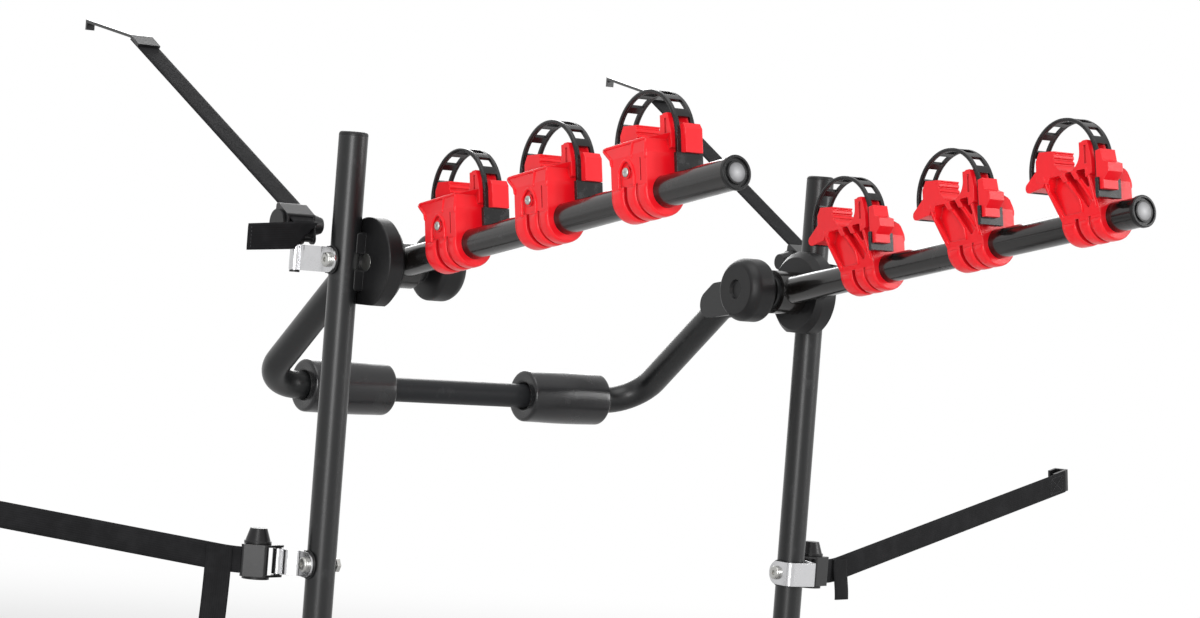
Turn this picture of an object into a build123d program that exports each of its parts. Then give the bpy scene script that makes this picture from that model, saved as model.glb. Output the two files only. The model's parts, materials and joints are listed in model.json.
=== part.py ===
from build123d import *
import math
import os

os.makedirs("parts", exist_ok=True)

# Rear bike rack that straps to a hatchback. X runs to the right, Y forward to the car, Z up.
# The origin is on the axis of the lower padded crossbar, half way between the two uprights.
# Every piece is drawn for the right-hand side, and the left-hand one is its mirror image.

# Fits, all on the radius or on one side
fit_gap = 0.05
running_gap = 0.2
soft_gap = 0.3

# Frame tubes
tube_radius = 14.0
tube_wall = 1.5
bore_radius = tube_radius - tube_wall
cap_lip = 1.0
cap_depth = 14.0
spigot_length = 30.0

# Main frame
upright_x = 281.0
hub_height = 500.0
upright_rise = 118.0
elbow_radius = 60.0
lower_pad_x = 135.0
side_bolt_drop = 288.0

# Foam pads, lower and upper
pad_radius = 27.0
pad_length = 97.0
pad_round = 5.0

# Hub, stacked inward from the upright
hub_setback = 16.0
disc_radius = 43.0
disc_width = 21.0
disc_flat_drop = 40.0
disc_bevel = 6.0
saddle_height = 56.0
saddle_width = 27.0
boss_radius = 22.0
boss_width = 29.6
lug_thickness = 5.0
washer_thickness = 1.5
washer_radius = 12.0
pivot_radius = 5.0
pivot_head_radius = 8.5
pivot_head_width = 6.0
knob_length = 39.0
knob_radius = 32.0
knob_end_radius = 25.0
knob_neck_radius = 15.0

# Support frame that folds out to the window
leg_offset = 75.0
bar_forward = 243.0
bar_drop = 130.0
leg_bend = 42.0
leg_end_x = 112.0
bar_end_x = 130.0
window_pad_x = 133.5
collar_wall = 2.0
collar_length = 30.0
collar_floor = 3.0
lug_radius = 18.0

# Carrying arms
arm_length = 527.0
arm_rise = 11.0
cap_dome = 4.0

# Cradles on the arms, u along the arm to its tip and w square to it, from the tube's axis
left_first_reach = 106.0
left_tip_gap = 122.0
right_first_reach = 145.0
right_tip_gap = 58.0
cradles_per_arm = 3
clamp_length = 52.0
band_radius = 20.0
band_height = 34.0
slot_u = -6.0
slot_width = 4.5
slot_depth = 4.5
slot_top = 8.0
groove_u = 11.0
groove_width = 3.0
groove_depth = 1.5
shoulder_height = 46.0
shoulder_back = 42.0
shoulder_front = 23.0
shelf_height = 52.0
wedge_low = 2.0
face_lean = 3.0
head_inset = 18.0
head_half = 12.5
seat_radius = 17.0
seat_u = -4.0
seat_w = 61.0
prong_top = 69.0
prong_front = 28.0
prong_back = 46.0
prong_slope = 4.0
prong_slot = 3.0
tooth_radius = 1.3
recess_depth = 1.6
recess_radius = 9.0
screw_u = -4.0
screw_w = 20.0
screw_radius = 2.0
screw_head = 4.2
screw_boss = 5.5
screw_length = 12.0

# Ladder straps over the cradles
hinge_u = -57.0
hinge_w = 38.0
hinge_pin = 2.2
hinge_eye = 4.8
hinge_room = 1.2
ear_thickness = 2.2
ear_inset = 5.0
ladder_half = 10.0
ladder_thickness = 3.0
ladder_radius = 44.5
ladder_centre_w = 50.0
ladder_windows = 7
window_length = 12.5
window_half = 6.3
tab_half = 14.0
tab_thickness = 4.0
tab_low = 15.0
tab_high = 33.0
catch_half = 9.0
catch_inset = 3.0
catch_top = 59.0
catch_thickness = 7.0
catch_step = 9.0

# Strap brackets
strip_width = 24.0
strip_thickness = 2.5
strip_bend = 6.0
lining_thickness = 1.0
lining_margin = 1.5
bolt_radius = 4.0
bolt_head_radius = 7.0
bolt_head_height = 4.0
pin_x = 311.0
pin_y = 40.0
side_pin_y = 30.0
ring_wall = 2.5
link_foot = 5.0
link_width = 12.0

# Cam buckles, u along the strap, v across it and n square to it, from the drum's axis
bar_radius = 3.0
bar_u = -19.5
bar_n = -5.0
drum_radius = 11.0
drum_end_radius = 13.0
drum_end_width = 2.6
drum_tip = 12.0
drum_taper = 18.0
cam_pin = 2.5
cheek_half = 13.0
cheek_thickness = 2.2
web_gap = 0.5
plate_front = 14.0
lip_angle = 300.0
lip_reach = 21.0
lip_thickness = 6.0

# Webbing and hooks
web_width = 25.0
web_thickness = 2.0
tail_length = 62.0
side_tail_length = 95.0
short_tail_length = 30.0
upper_angle = 27.5
upper_strap_bend = (322.0, 364.0, 706.0)
upper_strap_tip = (331.0, 463.0, 722.0)
left_strap_run = (250.0, 175.0, 35.0)
right_strap_run = (450.0, 145.0, 93.0)
hook_thickness = 3.0
hook_lip = 14.0
upper_hook_lip = 9.0
hook_tip_width = 8.0
hook_overlap = 20.0

# Places worked out from the sizes above
hub_y = -hub_setback
disc_inner = upright_x - tube_radius - disc_width
arm_x = disc_inner - running_gap - boss_width / 2
lug_outer = arm_x - boss_width / 2 - running_gap
lug_inner = lug_outer - lug_thickness
washer_outer = lug_inner - running_gap
knob_back = washer_outer - washer_thickness - running_gap
leg_x = lug_outer + tube_radius
side_bolt_height = hub_height - side_bolt_drop
arm_direction = Vector(0, -math.cos(math.radians(arm_rise)), math.sin(math.radians(arm_rise)))
arm_up = Vector(0, math.sin(math.radians(arm_rise)), math.cos(math.radians(arm_rise)))
arm_root = Vector(arm_x, hub_y, hub_height)
lining_x = upright_x + tube_radius + running_gap
strip_x = lining_x + lining_thickness + fit_gap + strip_thickness / 2
ring_radius = bar_radius + fit_gap
web_n = drum_radius + web_gap + web_thickness / 2
plate_n = web_n + web_thickness / 2 + soft_gap
strap_slope = math.radians(upper_angle)
side_fall = Vector(0, 0, -1)
rightward = Vector(1, 0, 0)
upper_run = Vector(0, math.cos(strap_slope), math.sin(strap_slope))
upper_bar = Vector(pin_x - 3, pin_y, hub_height + strip_width / 2 + running_gap + ring_radius + ring_wall)


def write(piece, name):
    """Label a finished piece and write its STEP file."""
    piece.part.label = name
    export_step(piece.part, f"parts/{name}.step")


def write_both_as_one(piece, name):
    """Write a right-hand piece and its mirror image as two solids of one node."""
    with BuildPart() as both:
        add(piece.part)
        mirror(piece.part, about=Plane.YZ)
    write(both, name)


def across(x):
    """Plane at a distance x to the right, seen along X, with Y and Z as its own axes."""
    return Plane.YZ.offset(x)


def write_left(piece, name):
    """Write only the mirror image of a right-hand piece."""
    with BuildPart() as twin:
        mirror(piece.part, about=Plane.YZ)
    write(twin, name)


def write_pair(piece, name):
    """Write a right-hand piece and its mirror image on the left."""
    write(piece, f"right_{name}")
    write_left(piece, f"left_{name}")


def ring_sketch(outer, inner):
    """Draw a ring into the sketch that is open."""
    Circle(outer)
    Circle(inner, mode=Mode.SUBTRACT)


# Main frame: uprights, elbows and lower crossbar

def build_upright():
    """Straight tube with a cross hole for each strap bracket."""
    with BuildPart() as upright:
        with BuildSketch(Plane.XY.offset(elbow_radius)):
            with Locations((upright_x, 0)):
                ring_sketch(tube_radius, bore_radius)
        extrude(amount=hub_height + upright_rise - elbow_radius)
        with BuildSketch(across(upright_x)):
            with Locations((0, hub_height), (0, side_bolt_height)):
                Circle(bolt_radius + fit_gap)
        extrude(amount=tube_radius + 1, both=True, mode=Mode.SUBTRACT)
    return upright


def build_upright_cap():
    """Domed plastic plug in the top of an upright."""
    top = hub_height + upright_rise
    with BuildPart() as cap:
        with BuildSketch(Plane.XY.offset(top - cap_depth)):
            with Locations((upright_x, 0)):
                Circle(bore_radius - fit_gap)
        extrude(amount=cap_depth)
        with BuildSketch(Plane.XY.offset(top)):
            with Locations((upright_x, 0)):
                Circle(tube_radius)
        extrude(amount=cap_dome)
        fillet(cap.edges().group_by(Axis.Z)[-1], cap_dome - cap_lip)
    return cap


def build_elbow():
    """Quarter bend with a spigot into the upright and one into the crossbar."""
    bend_axis = Axis((upright_x - elbow_radius, 0, elbow_radius), (0, 1, 0))
    spigot = bore_radius - fit_gap
    with BuildPart() as elbow:
        with BuildSketch(Plane.XY.offset(elbow_radius)):
            with Locations((upright_x, 0)):
                ring_sketch(tube_radius, bore_radius)
        revolve(axis=bend_axis, revolution_arc=90)
        with BuildSketch(Plane.XY.offset(elbow_radius - tube_wall)):
            with Locations((upright_x, 0)):
                ring_sketch(spigot, spigot - tube_wall)
        extrude(amount=spigot_length + tube_wall)
        with BuildSketch(Plane.XY.offset(elbow_radius - tube_wall)):
            with Locations((upright_x, 0)):
                ring_sketch(tube_radius - tube_wall / 2, spigot - tube_wall)
        extrude(amount=tube_wall)
        with BuildSketch(across(upright_x - elbow_radius + tube_wall)):
            ring_sketch(spigot, spigot - tube_wall)
        extrude(amount=-spigot_length - tube_wall)
        with BuildSketch(across(upright_x - elbow_radius + tube_wall)):
            ring_sketch(tube_radius - tube_wall / 2, spigot - tube_wall)
        extrude(amount=-tube_wall)
    return elbow


def build_crossbar():
    """Straight lower tube between the elbows."""
    half = upright_x - elbow_radius
    with BuildPart() as crossbar:
        with BuildSketch(across(-half)):
            ring_sketch(tube_radius, bore_radius)
        extrude(amount=2 * half)
    return crossbar


def build_pad(middle, y, z):
    """Foam sleeve round a bar that runs along X."""
    with BuildPart() as pad:
        with BuildSketch(across(middle - pad_length / 2)):
            with Locations((y, z)):
                Circle(pad_radius)
        extrude(amount=pad_length)
        fillet(pad.edges().filter_by(GeomType.CIRCLE), pad_round)
        with BuildSketch(across(middle)):
            with Locations((y, z)):
                Circle(tube_radius + soft_gap)
        extrude(amount=pad_length, both=True, mode=Mode.SUBTRACT)
    return pad


# Hub: fixed disc, pivot bolt, washer and knob

def build_housing():
    """Disc that the arm is clamped against, with a saddle round the upright."""
    with BuildPart() as housing:
        with BuildSketch(across(disc_inner)):
            with Locations((hub_y, hub_height)):
                Circle(disc_radius)
        extrude(amount=disc_width)
        chamfer(housing.faces().sort_by(Axis.X)[0].edges(), disc_bevel)
        fillet(housing.faces().sort_by(Axis.X)[-1].edges(), disc_bevel / 4)
        with BuildSketch(across(disc_inner)):
            with Locations((hub_y, hub_height - disc_flat_drop)):
                Rectangle(2 * disc_radius, disc_radius, align=(Align.CENTER, Align.MAX))
        extrude(amount=disc_width, mode=Mode.SUBTRACT)
        with BuildSketch(across(disc_inner + disc_width / 2)):
            with Locations((0, hub_height)):
                Rectangle(saddle_width, saddle_height)
        extrude(amount=disc_width / 2 + tube_radius)
        fillet(housing.edges().filter_by(Axis.X).group_by(Axis.X)[-1], 3)
        with BuildSketch(Plane.XY.offset(hub_height)):
            with Locations((upright_x, 0)):
                Circle(tube_radius + fit_gap)
        extrude(amount=disc_radius, both=True, mode=Mode.SUBTRACT)
        with BuildSketch(across(disc_inner)):
            with Locations((hub_y, hub_height)):
                Circle(pivot_radius + fit_gap)
            with Locations((0, hub_height)):
                Circle(bolt_radius + fit_gap)
        extrude(amount=disc_width + tube_radius, mode=Mode.SUBTRACT)
        with BuildSketch(across(disc_inner + disc_width - pivot_head_width)):
            with Locations((hub_y, hub_height)):
                Circle(pivot_head_radius + fit_gap)
        extrude(amount=disc_width + tube_radius, mode=Mode.SUBTRACT)
        with BuildSketch(across(disc_inner)):
            with Locations((0, hub_height)):
                Circle(bolt_head_radius + fit_gap)
        extrude(amount=bolt_head_height + running_gap, mode=Mode.SUBTRACT)
    return housing


def build_pivot_bolt():
    """Bolt from the pocket of the disc through arm, lug and washer into the knob."""
    head_x = disc_inner + disc_width - pivot_head_width
    with BuildPart() as bolt:
        with BuildSketch(across(head_x)):
            with Locations((hub_y, hub_height)):
                Circle(pivot_head_radius)
        extrude(amount=pivot_head_width)
        with BuildSketch(across(knob_back - knob_length / 2 + running_gap)):
            with Locations((hub_y, hub_height)):
                Circle(pivot_radius)
        extrude(amount=head_x - knob_back + knob_length / 2 - running_gap)
    return bolt


def build_washer():
    """Thrust washer between the lug and the knob."""
    with BuildPart() as washer:
        with BuildSketch(across(washer_outer - washer_thickness)):
            with Locations((hub_y, hub_height)):
                ring_sketch(washer_radius, pivot_radius + fit_gap)
        extrude(amount=washer_thickness)
    return washer


def build_knob():
    """Mushroom knob: narrow neck, swelling back, barrel and a dished end."""
    back = knob_back
    end = knob_back - knob_length
    with BuildPart() as knob:
        with BuildSketch(Plane(origin=(0, hub_y, hub_height), x_dir=(1, 0, 0), z_dir=(0, -1, 0))):
            with BuildLine():
                Polyline((back, 0), (back, knob_neck_radius), (back - 4, knob_neck_radius))
                Spline((back - 4, knob_neck_radius), (back - 8, knob_radius - 6), (back - 15, knob_radius),
                       tangents=((-0.5, 1), (-1, 0)))
                Line((back - 15, knob_radius), (end + 11, knob_radius))
                Spline((end + 11, knob_radius), (end + 4, knob_radius - 2.5), (end, knob_end_radius),
                       tangents=((-1, 0), (-0.4, -1)))
                Polyline((end, knob_end_radius), (end, 10), (end + 3, 8.5), (end + 3, 0), (back, 0))
            make_face()
        revolve(axis=Axis((0, hub_y, hub_height), (1, 0, 0)))
        with BuildSketch(across(back)):
            with Locations((hub_y, hub_height)):
                Circle(pivot_radius + fit_gap)
        extrude(amount=-knob_length / 2, mode=Mode.SUBTRACT)
    return knob


# Support frame: two bent legs, bar, lugs and window pads

bar_y = hub_y + bar_forward
bar_z = hub_height - bar_drop
leg_top = Vector(leg_x, hub_y + leg_offset, hub_height)
leg_corner = Vector(leg_x, bar_y, bar_z)
leg_direction = (leg_corner - leg_top).normalized()


def build_leg():
    """Tube from the lug down to the bar, bent once, with a stub that takes the bar."""
    with BuildPart() as leg:
        with BuildLine():
            FilletPolyline(leg_top, leg_corner, Vector(leg_end_x, bar_y, bar_z), radius=leg_bend)
        with BuildSketch(Plane(origin=leg_top, z_dir=leg_direction)):
            ring_sketch(tube_radius, bore_radius)
        sweep()
    return leg


def build_support_bar():
    """Thinner bar that slides into both leg stubs."""
    with BuildPart() as bar:
        with BuildSketch(across(-bar_end_x)):
            with Locations((bar_y, bar_z)):
                ring_sketch(bore_radius - fit_gap, bore_radius - tube_wall)
        extrude(amount=2 * bar_end_x)
    return bar


def build_lug():
    """Plate on the pivot bolt with a collar that holds the top of the leg."""
    collar_mid = leg_top + leg_direction * collar_length * 0.5
    collar_end = leg_top + leg_direction * collar_length
    with BuildPart() as lug:
        with BuildSketch(across(lug_inner)):
            with Locations((hub_y, hub_height)):
                Circle(lug_radius)
            with Locations((collar_mid.Y, collar_mid.Z), (collar_end.Y, collar_end.Z)):
                Circle(tube_radius)
            make_hull()
        extrude(amount=lug_thickness)
        with BuildSketch(Plane(origin=leg_top - leg_direction * collar_floor, z_dir=leg_direction)):
            Circle(tube_radius + collar_wall)
        extrude(amount=collar_length + collar_floor)
        with BuildSketch(Plane(origin=leg_top, z_dir=leg_direction)):
            Circle(tube_radius + fit_gap)
        extrude(amount=2 * collar_length, mode=Mode.SUBTRACT)
        with BuildSketch(across(lug_inner)):
            with Locations((hub_y, hub_height)):
                Circle(pivot_radius + fit_gap)
        extrude(amount=lug_thickness, mode=Mode.SUBTRACT)
    return lug


# Arms and their end caps

def arm_plane(reach):
    """Plane square to the arm at a distance from the hub, Y up and Z to the tip."""
    return Plane(origin=arm_root + arm_direction * reach, x_dir=(1, 0, 0), z_dir=arm_direction)


def build_arm():
    """Tube with a cross boss that turns on the pivot bolt."""
    with BuildPart() as arm:
        with BuildSketch(across(arm_x)):
            with Locations((hub_y, hub_height)):
                Circle(boss_radius)
        extrude(amount=boss_width / 2, both=True)
        with BuildSketch(arm_plane(0)):
            Circle(tube_radius)
        extrude(amount=arm_length)
        with BuildSketch(arm_plane(boss_radius)):
            Circle(bore_radius)
        extrude(amount=arm_length, mode=Mode.SUBTRACT)
        with BuildSketch(across(arm_x)):
            with Locations((hub_y, hub_height)):
                Circle(pivot_radius + fit_gap)
        extrude(amount=boss_width, both=True, mode=Mode.SUBTRACT)
    return arm


def build_arm_cap():
    """Ring-shaped end cap with a low dome in its middle."""
    with BuildPart() as cap:
        with BuildSketch(arm_plane(arm_length - cap_depth)):
            Circle(bore_radius - fit_gap)
        extrude(amount=cap_depth)
        with BuildSketch(arm_plane(arm_length)):
            Circle(tube_radius + cap_lip)
        extrude(amount=cap_dome)
        fillet(cap.faces().sort_by(Axis.Y)[0].edges(), cap_lip)
        with BuildSketch(arm_plane(arm_length + cap_dome)):
            ring_sketch(tube_radius - 1.5, tube_radius - 4)
        extrude(amount=-1.5, mode=Mode.SUBTRACT)
    return cap


# Cradles: red clamp, shoulder that leans inboard and forked head

def cradle_side(reach, inward=0.0):
    """Plane of a cradle's side, X to the arm's tip, Y up from the arm, Z inboard."""
    origin = arm_root + arm_direction * reach - Vector(inward, 0, 0)
    return Plane(origin=origin, x_dir=arm_direction, z_dir=(-1, 0, 0))


def cradle_level(reach, height):
    """Plane square to the cradle's height, X to the tip and Y outboard."""
    origin = arm_root + arm_direction * reach + arm_up * height
    return Plane(origin=origin, x_dir=arm_direction, z_dir=arm_up)


def spread_reaches(first, tip_gap):
    """Distances of the cradles from the hub, evenly spread up to a gap at the arm's tip."""
    pitch = (arm_length - tip_gap - first) / (cradles_per_arm - 1)
    return [first + number * pitch for number in range(cradles_per_arm)]


def draw_band(radius, height, mode=Mode.ADD):
    """Draw a U: half round under the arm, then straight up both sides."""
    Circle(radius, mode=mode)
    Rectangle(2 * radius, height, align=(Align.CENTER, Align.MIN), mode=mode)


def draw_level(back, front, outboard, inboard):
    """Draw a rectangle of a cradle, seen from above, from its four distances."""
    with Locations(((front - back) / 2, (outboard - inboard) / 2)):
        Rectangle(front + back, outboard + inboard)


def build_clamp(reach):
    """Sleeve round the arm with a slot and a groove, and the shoulder that leans inboard."""
    half = clamp_length / 2
    inner_edge = head_inset + head_half
    outer_edge = band_radius - face_lean
    with BuildPart() as clamp:
        with BuildSketch(arm_plane(reach)):
            draw_band(band_radius, band_height)
        extrude(amount=half, both=True)
        cuts = ((slot_u, slot_width, slot_depth), (groove_u, groove_width, groove_depth))
        for place, width, depth in cuts:
            with BuildSketch(arm_plane(reach + place)):
                with Locations((0, slot_top)):
                    Rectangle(3 * band_radius, 3 * band_radius, align=(Align.CENTER, Align.MAX))
                draw_band(band_radius - depth, band_height, mode=Mode.SUBTRACT)
            extrude(amount=width / 2, both=True, mode=Mode.SUBTRACT)
        with BuildSketch(cradle_level(reach, band_height)):
            draw_level(half, half, band_radius, band_radius)
        with BuildSketch(cradle_level(reach, shoulder_height)):
            draw_level(shoulder_back, shoulder_front, outer_edge, inner_edge)
        loft(ruled=True)
        with BuildSketch(cradle_level(reach, wedge_low)):
            draw_level(half, half, -bore_radius, band_radius)
        with BuildSketch(cradle_level(reach, shoulder_height)):
            draw_level(shoulder_back, shoulder_front, -bore_radius, inner_edge)
        loft(ruled=True)
        with BuildSketch(cradle_level(reach, shoulder_height)):
            draw_level(shoulder_back, shoulder_front, outer_edge, inner_edge)
        with BuildSketch(cradle_level(reach, shelf_height)):
            draw_level(shoulder_back, prong_front, head_half - head_inset, inner_edge)
        loft(ruled=True)
    return clamp


def draw_fork():
    """Outline of the forked head before its seat is cut: a sloped prong and a taller round one."""
    with BuildSketch() as fork:
        with BuildLine():
            Polyline((-prong_back, shoulder_height - 4), (-prong_back, prong_top - 2 * prong_slope),
                     (-prong_back + 5, prong_top), (seat_u, prong_top - prong_slope),
                     (seat_u, prong_top), (prong_front - 12, prong_top), (prong_front - 10, prong_top + 1),
                     (prong_front - 4, prong_top + 1), (prong_front, prong_top - 5),
                     (prong_front, shoulder_height - 7), (prong_front - 8, shoulder_height - 10),
                     (-clamp_length / 2, shoulder_height - 10), close=True)
        make_face()
    return fork.sketch


def draw_pockets():
    """Three pockets that leave an arch and two slanted ribs on the inboard face."""
    with BuildSketch() as pockets:
        with BuildLine():
            Polyline((-20, 7), (-33, 32), (-29, 43), (-15, 43), (2, 18), (2, 7), close=True)
        make_face()
        with BuildLine():
            Polyline((-9, 44), (0, 44), (19, 15), (12, 9), (6, 19), close=True)
        make_face()
        with BuildLine():
            Polyline((6, 44), (19, 44), (20, 24), close=True)
        make_face()
        fillet(pockets.vertices(), 1.5)
    return pockets.sketch


def build_cradle(reach):
    """Whole red cradle with ears for the strap, pockets, screw boss and the hole for the arm."""
    clamp = build_clamp(reach)
    head = cradle_side(reach, head_inset)
    face = cradle_side(reach, -band_radius)
    with BuildPart() as cradle:
        add(clamp.part)
        with BuildSketch(head):
            add(draw_fork())
        extrude(amount=head_half, both=True)
        with BuildSketch(head):
            ear_u = ear_inset - prong_back
            with Locations((hinge_u, hinge_w), (ear_u, hinge_w + 2), (ear_u, shoulder_height + 4)):
                Circle(hinge_eye)
            make_hull()
        extrude(amount=ladder_half + running_gap + ear_thickness, both=True)
        with BuildSketch(head):
            with Locations((hinge_u, hinge_w)):
                Circle(2 * (ladder_radius + ladder_thickness))
                Circle(2 * ladder_radius - ladder_thickness / 2 - hinge_room, mode=Mode.SUBTRACT)
            with Locations((hinge_u, hinge_w)):
                Rectangle(5 * ladder_radius, 3 * ladder_radius, align=(Align.CENTER, Align.MAX),
                          mode=Mode.SUBTRACT)
        extrude(amount=head_half, both=True, mode=Mode.SUBTRACT)
        with BuildSketch(head.offset(head_half)):
            add(draw_pockets())
        extrude(amount=band_radius - head_inset - head_half, mode=Mode.SUBTRACT)
        with BuildSketch(face):
            with Locations((screw_u, screw_w)):
                Circle(recess_radius)
                Rectangle(2 * recess_radius, screw_w - slot_top, align=(Align.CENTER, Align.MAX))
                Circle(screw_boss, mode=Mode.SUBTRACT)
            with Locations((shoulder_front - 6, screw_w)):
                Rectangle(prong_slot / 2, screw_w)
        extrude(amount=recess_depth, mode=Mode.SUBTRACT)
        with BuildSketch(head):
            with Locations((hinge_u, hinge_w)):
                Circle(hinge_eye + hinge_room)
                Rectangle(2 * (hinge_eye + hinge_room), shoulder_height - hinge_w + hinge_eye,
                          align=(Align.CENTER, Align.MIN))
        extrude(amount=ladder_half + running_gap, both=True, mode=Mode.SUBTRACT)
        with BuildSketch(head):
            with Locations((hinge_u, hinge_w)):
                Circle(hinge_pin)
        extrude(amount=ladder_half + running_gap, both=True)
        with BuildSketch(head):
            with Locations((seat_u, seat_w)):
                Circle(seat_radius)
                Rectangle(2 * seat_radius, seat_w, align=(Align.CENTER, Align.MIN))
                with PolarLocations(seat_radius, 3, start_angle=168, angular_range=50):
                    Circle(tooth_radius)
        extrude(amount=3 * head_half, both=True, mode=Mode.SUBTRACT)
        for side in (-1, 1):
            with BuildSketch(head.offset(side * head_half)):
                with Locations(((prong_front + seat_u + seat_radius) / 2, seat_w - 4)):
                    Rectangle(prong_slot, seat_radius)
            extrude(amount=-side * recess_depth, mode=Mode.SUBTRACT)
        with BuildSketch(arm_plane(reach)):
            Circle(tube_radius + fit_gap)
        extrude(amount=clamp_length, both=True, mode=Mode.SUBTRACT)
        with BuildSketch(face.offset(-1)):
            with Locations((screw_u, screw_w)):
                Circle(screw_radius + fit_gap)
        extrude(amount=screw_length + 1, mode=Mode.SUBTRACT)
    return cradle


def build_screws(reaches):
    """One cross-headed screw in the outboard face of every cradle."""
    with BuildPart() as screws:
        for reach in reaches:
            seat = cradle_side(reach, -band_radius - fit_gap)
            with BuildSketch(seat):
                with Locations((screw_u, screw_w)):
                    Circle(screw_head)
            extrude(amount=-2)
            with BuildSketch(seat):
                with Locations((screw_u, screw_w)):
                    Circle(screw_radius)
            extrude(amount=screw_length - running_gap)
    return screws


# Ladder straps with an eye, windows, pull tab and catch

def draw_ladder():
    """Closed outline of the strap's band, seen from its side."""
    outer = ladder_radius + ladder_thickness / 2
    inner = ladder_radius - ladder_thickness / 2
    middle = hinge_u + ladder_radius
    with Locations((middle, ladder_centre_w)):
        Circle(outer)
        Circle(inner, mode=Mode.SUBTRACT)
        Rectangle(3 * outer, outer, align=(Align.CENTER, Align.MAX), mode=Mode.SUBTRACT)
    with Locations((hinge_u, hinge_w)):
        Rectangle(ladder_thickness, ladder_centre_w - hinge_w, align=(Align.CENTER, Align.MIN))
    with Locations((hinge_u + 2 * ladder_radius, ladder_centre_w)):
        Rectangle(ladder_thickness, ladder_centre_w - tab_low, align=(Align.CENTER, Align.MAX))


def build_ladder(reach):
    """Rubber strap that turns on the cradle's pin."""
    side = cradle_side(reach, head_inset)
    outside = hinge_u + 2 * ladder_radius + ladder_thickness / 2
    middle = side.from_local_coords(Vector(hinge_u + ladder_radius, ladder_centre_w, 0))
    with BuildPart() as ladder:
        with BuildSketch(side):
            draw_ladder()
        extrude(amount=ladder_half, both=True)
        with BuildSketch(side):
            with Locations((hinge_u, hinge_w)):
                Circle(hinge_eye)
        extrude(amount=ladder_half, both=True)
        with BuildSketch(side):
            with Locations((outside, tab_low)):
                Rectangle(tab_thickness, tab_high - tab_low, align=(Align.MIN, Align.MIN))
        extrude(amount=tab_half, both=True)
        with BuildSketch(side):
            with Locations((hinge_u, hinge_w)):
                Circle(hinge_pin + fit_gap)
        extrude(amount=ladder_half, both=True, mode=Mode.SUBTRACT)
        for number in range(ladder_windows):
            angle = 180 * (number + 0.5) / ladder_windows
            direction = side.x_dir.rotate(Axis(middle, side.z_dir), angle)
            with BuildSketch(Plane(origin=middle, x_dir=side.z_dir, z_dir=direction)):
                Rectangle(2 * window_half, window_length)
            extrude(amount=2 * ladder_radius, mode=Mode.SUBTRACT)
    return ladder


def build_catch(reach, stepped):
    """Red block on the strap's outer side above the tab, plain or with a step towards the tip."""
    near = hinge_u + 2 * ladder_radius + ladder_thickness / 2
    far = near + catch_thickness
    over_tab = near + tab_thickness
    with BuildPart() as catch:
        with BuildSketch(cradle_side(reach, head_inset + catch_inset)):
            with BuildLine():
                if stepped:
                    Polyline((near, tab_high), (over_tab, tab_high), (over_tab, tab_low + 7),
                             (far + 2, tab_low + 7), (far + 2, tab_high - 3),
                             (far + catch_step, tab_high + 4), (far + catch_step, tab_high + 12),
                             (far + 2, tab_high + 15), (far, catch_top), (near, catch_top - 1), close=True)
                else:
                    Polyline((near, tab_high), (far, tab_high), (far, catch_top - 5), (far - 3, catch_top),
                             (near, catch_top - 1), close=True)
            make_face()
        extrude(amount=catch_half, both=True)
    return catch


# Strap brackets: chrome strip with a round eye, wrapped round a vertical pin

def strip_path(height, inboard):
    """Corner points of the strip, seen from above, from the eye to the pin."""
    eye = strip_width / 2
    loop = ring_radius + ring_wall - strip_thickness / 2
    if inboard:
        inner = 2 * upright_x - strip_x
        rear = -tube_radius - strip_bend
        outer = upright_x + tube_radius + bolt_head_height - 1
        return [(inner, eye), (inner, rear), (outer, rear), (pin_x + loop, side_pin_y - 6),
                (pin_x + loop, side_pin_y)]
    return [(strip_x, -eye), (strip_x, eye + 1), (pin_x - 1, height - 10), (pin_x - loop, height)]


def build_bracket(height, reach, inboard=False):
    """Bent strip with its eye on the upright's bolt and its loop round the pin."""
    eye_x = 2 * upright_x - strip_x if inboard else strip_x
    points = strip_path(reach, inboard)
    with BuildPart() as bracket:
        with BuildSketch(Plane.XY.offset(height)):
            with BuildLine():
                FilletPolyline(*points, radius=strip_bend)
            trace(line_width=strip_thickness)
            with Locations((pin_x, reach)):
                Circle(ring_radius + ring_wall)
        extrude(amount=strip_width / 2, both=True)
        with BuildSketch(across(eye_x)):
            with Locations((0, height)):
                keep = Align.MIN if inboard else Align.MAX
                Rectangle(strip_width, strip_width, align=(keep, Align.CENTER))
                Circle(strip_width / 2, mode=Mode.SUBTRACT)
        extrude(amount=strip_thickness, both=True, mode=Mode.SUBTRACT)
        with BuildSketch(Plane.XY.offset(height)):
            with Locations((pin_x, reach)):
                Circle(ring_radius)
        extrude(amount=strip_width, both=True, mode=Mode.SUBTRACT)
        with BuildSketch(across(eye_x)):
            with Locations((0, height)):
                Circle(bolt_radius + fit_gap)
        extrude(amount=strip_width, both=True, mode=Mode.SUBTRACT)
    return bracket


def build_lining(height, inboard=False):
    """Thin rubber sheet between the upright and the flat part of a bracket."""
    near = 2 * upright_x - lining_x if inboard else lining_x
    along = Align.MAX if inboard else Align.MIN
    with BuildPart() as lining:
        with BuildSketch(across(near)):
            with Locations((0, height)):
                Circle(strip_width / 2 + lining_margin)
                Rectangle(strip_width / 2 - 4, strip_width + lining_margin, align=(along, Align.CENTER))
                Circle(bolt_radius + fit_gap, mode=Mode.SUBTRACT)
        extrude(amount=-lining_thickness if inboard else lining_thickness)
    return lining


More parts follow.
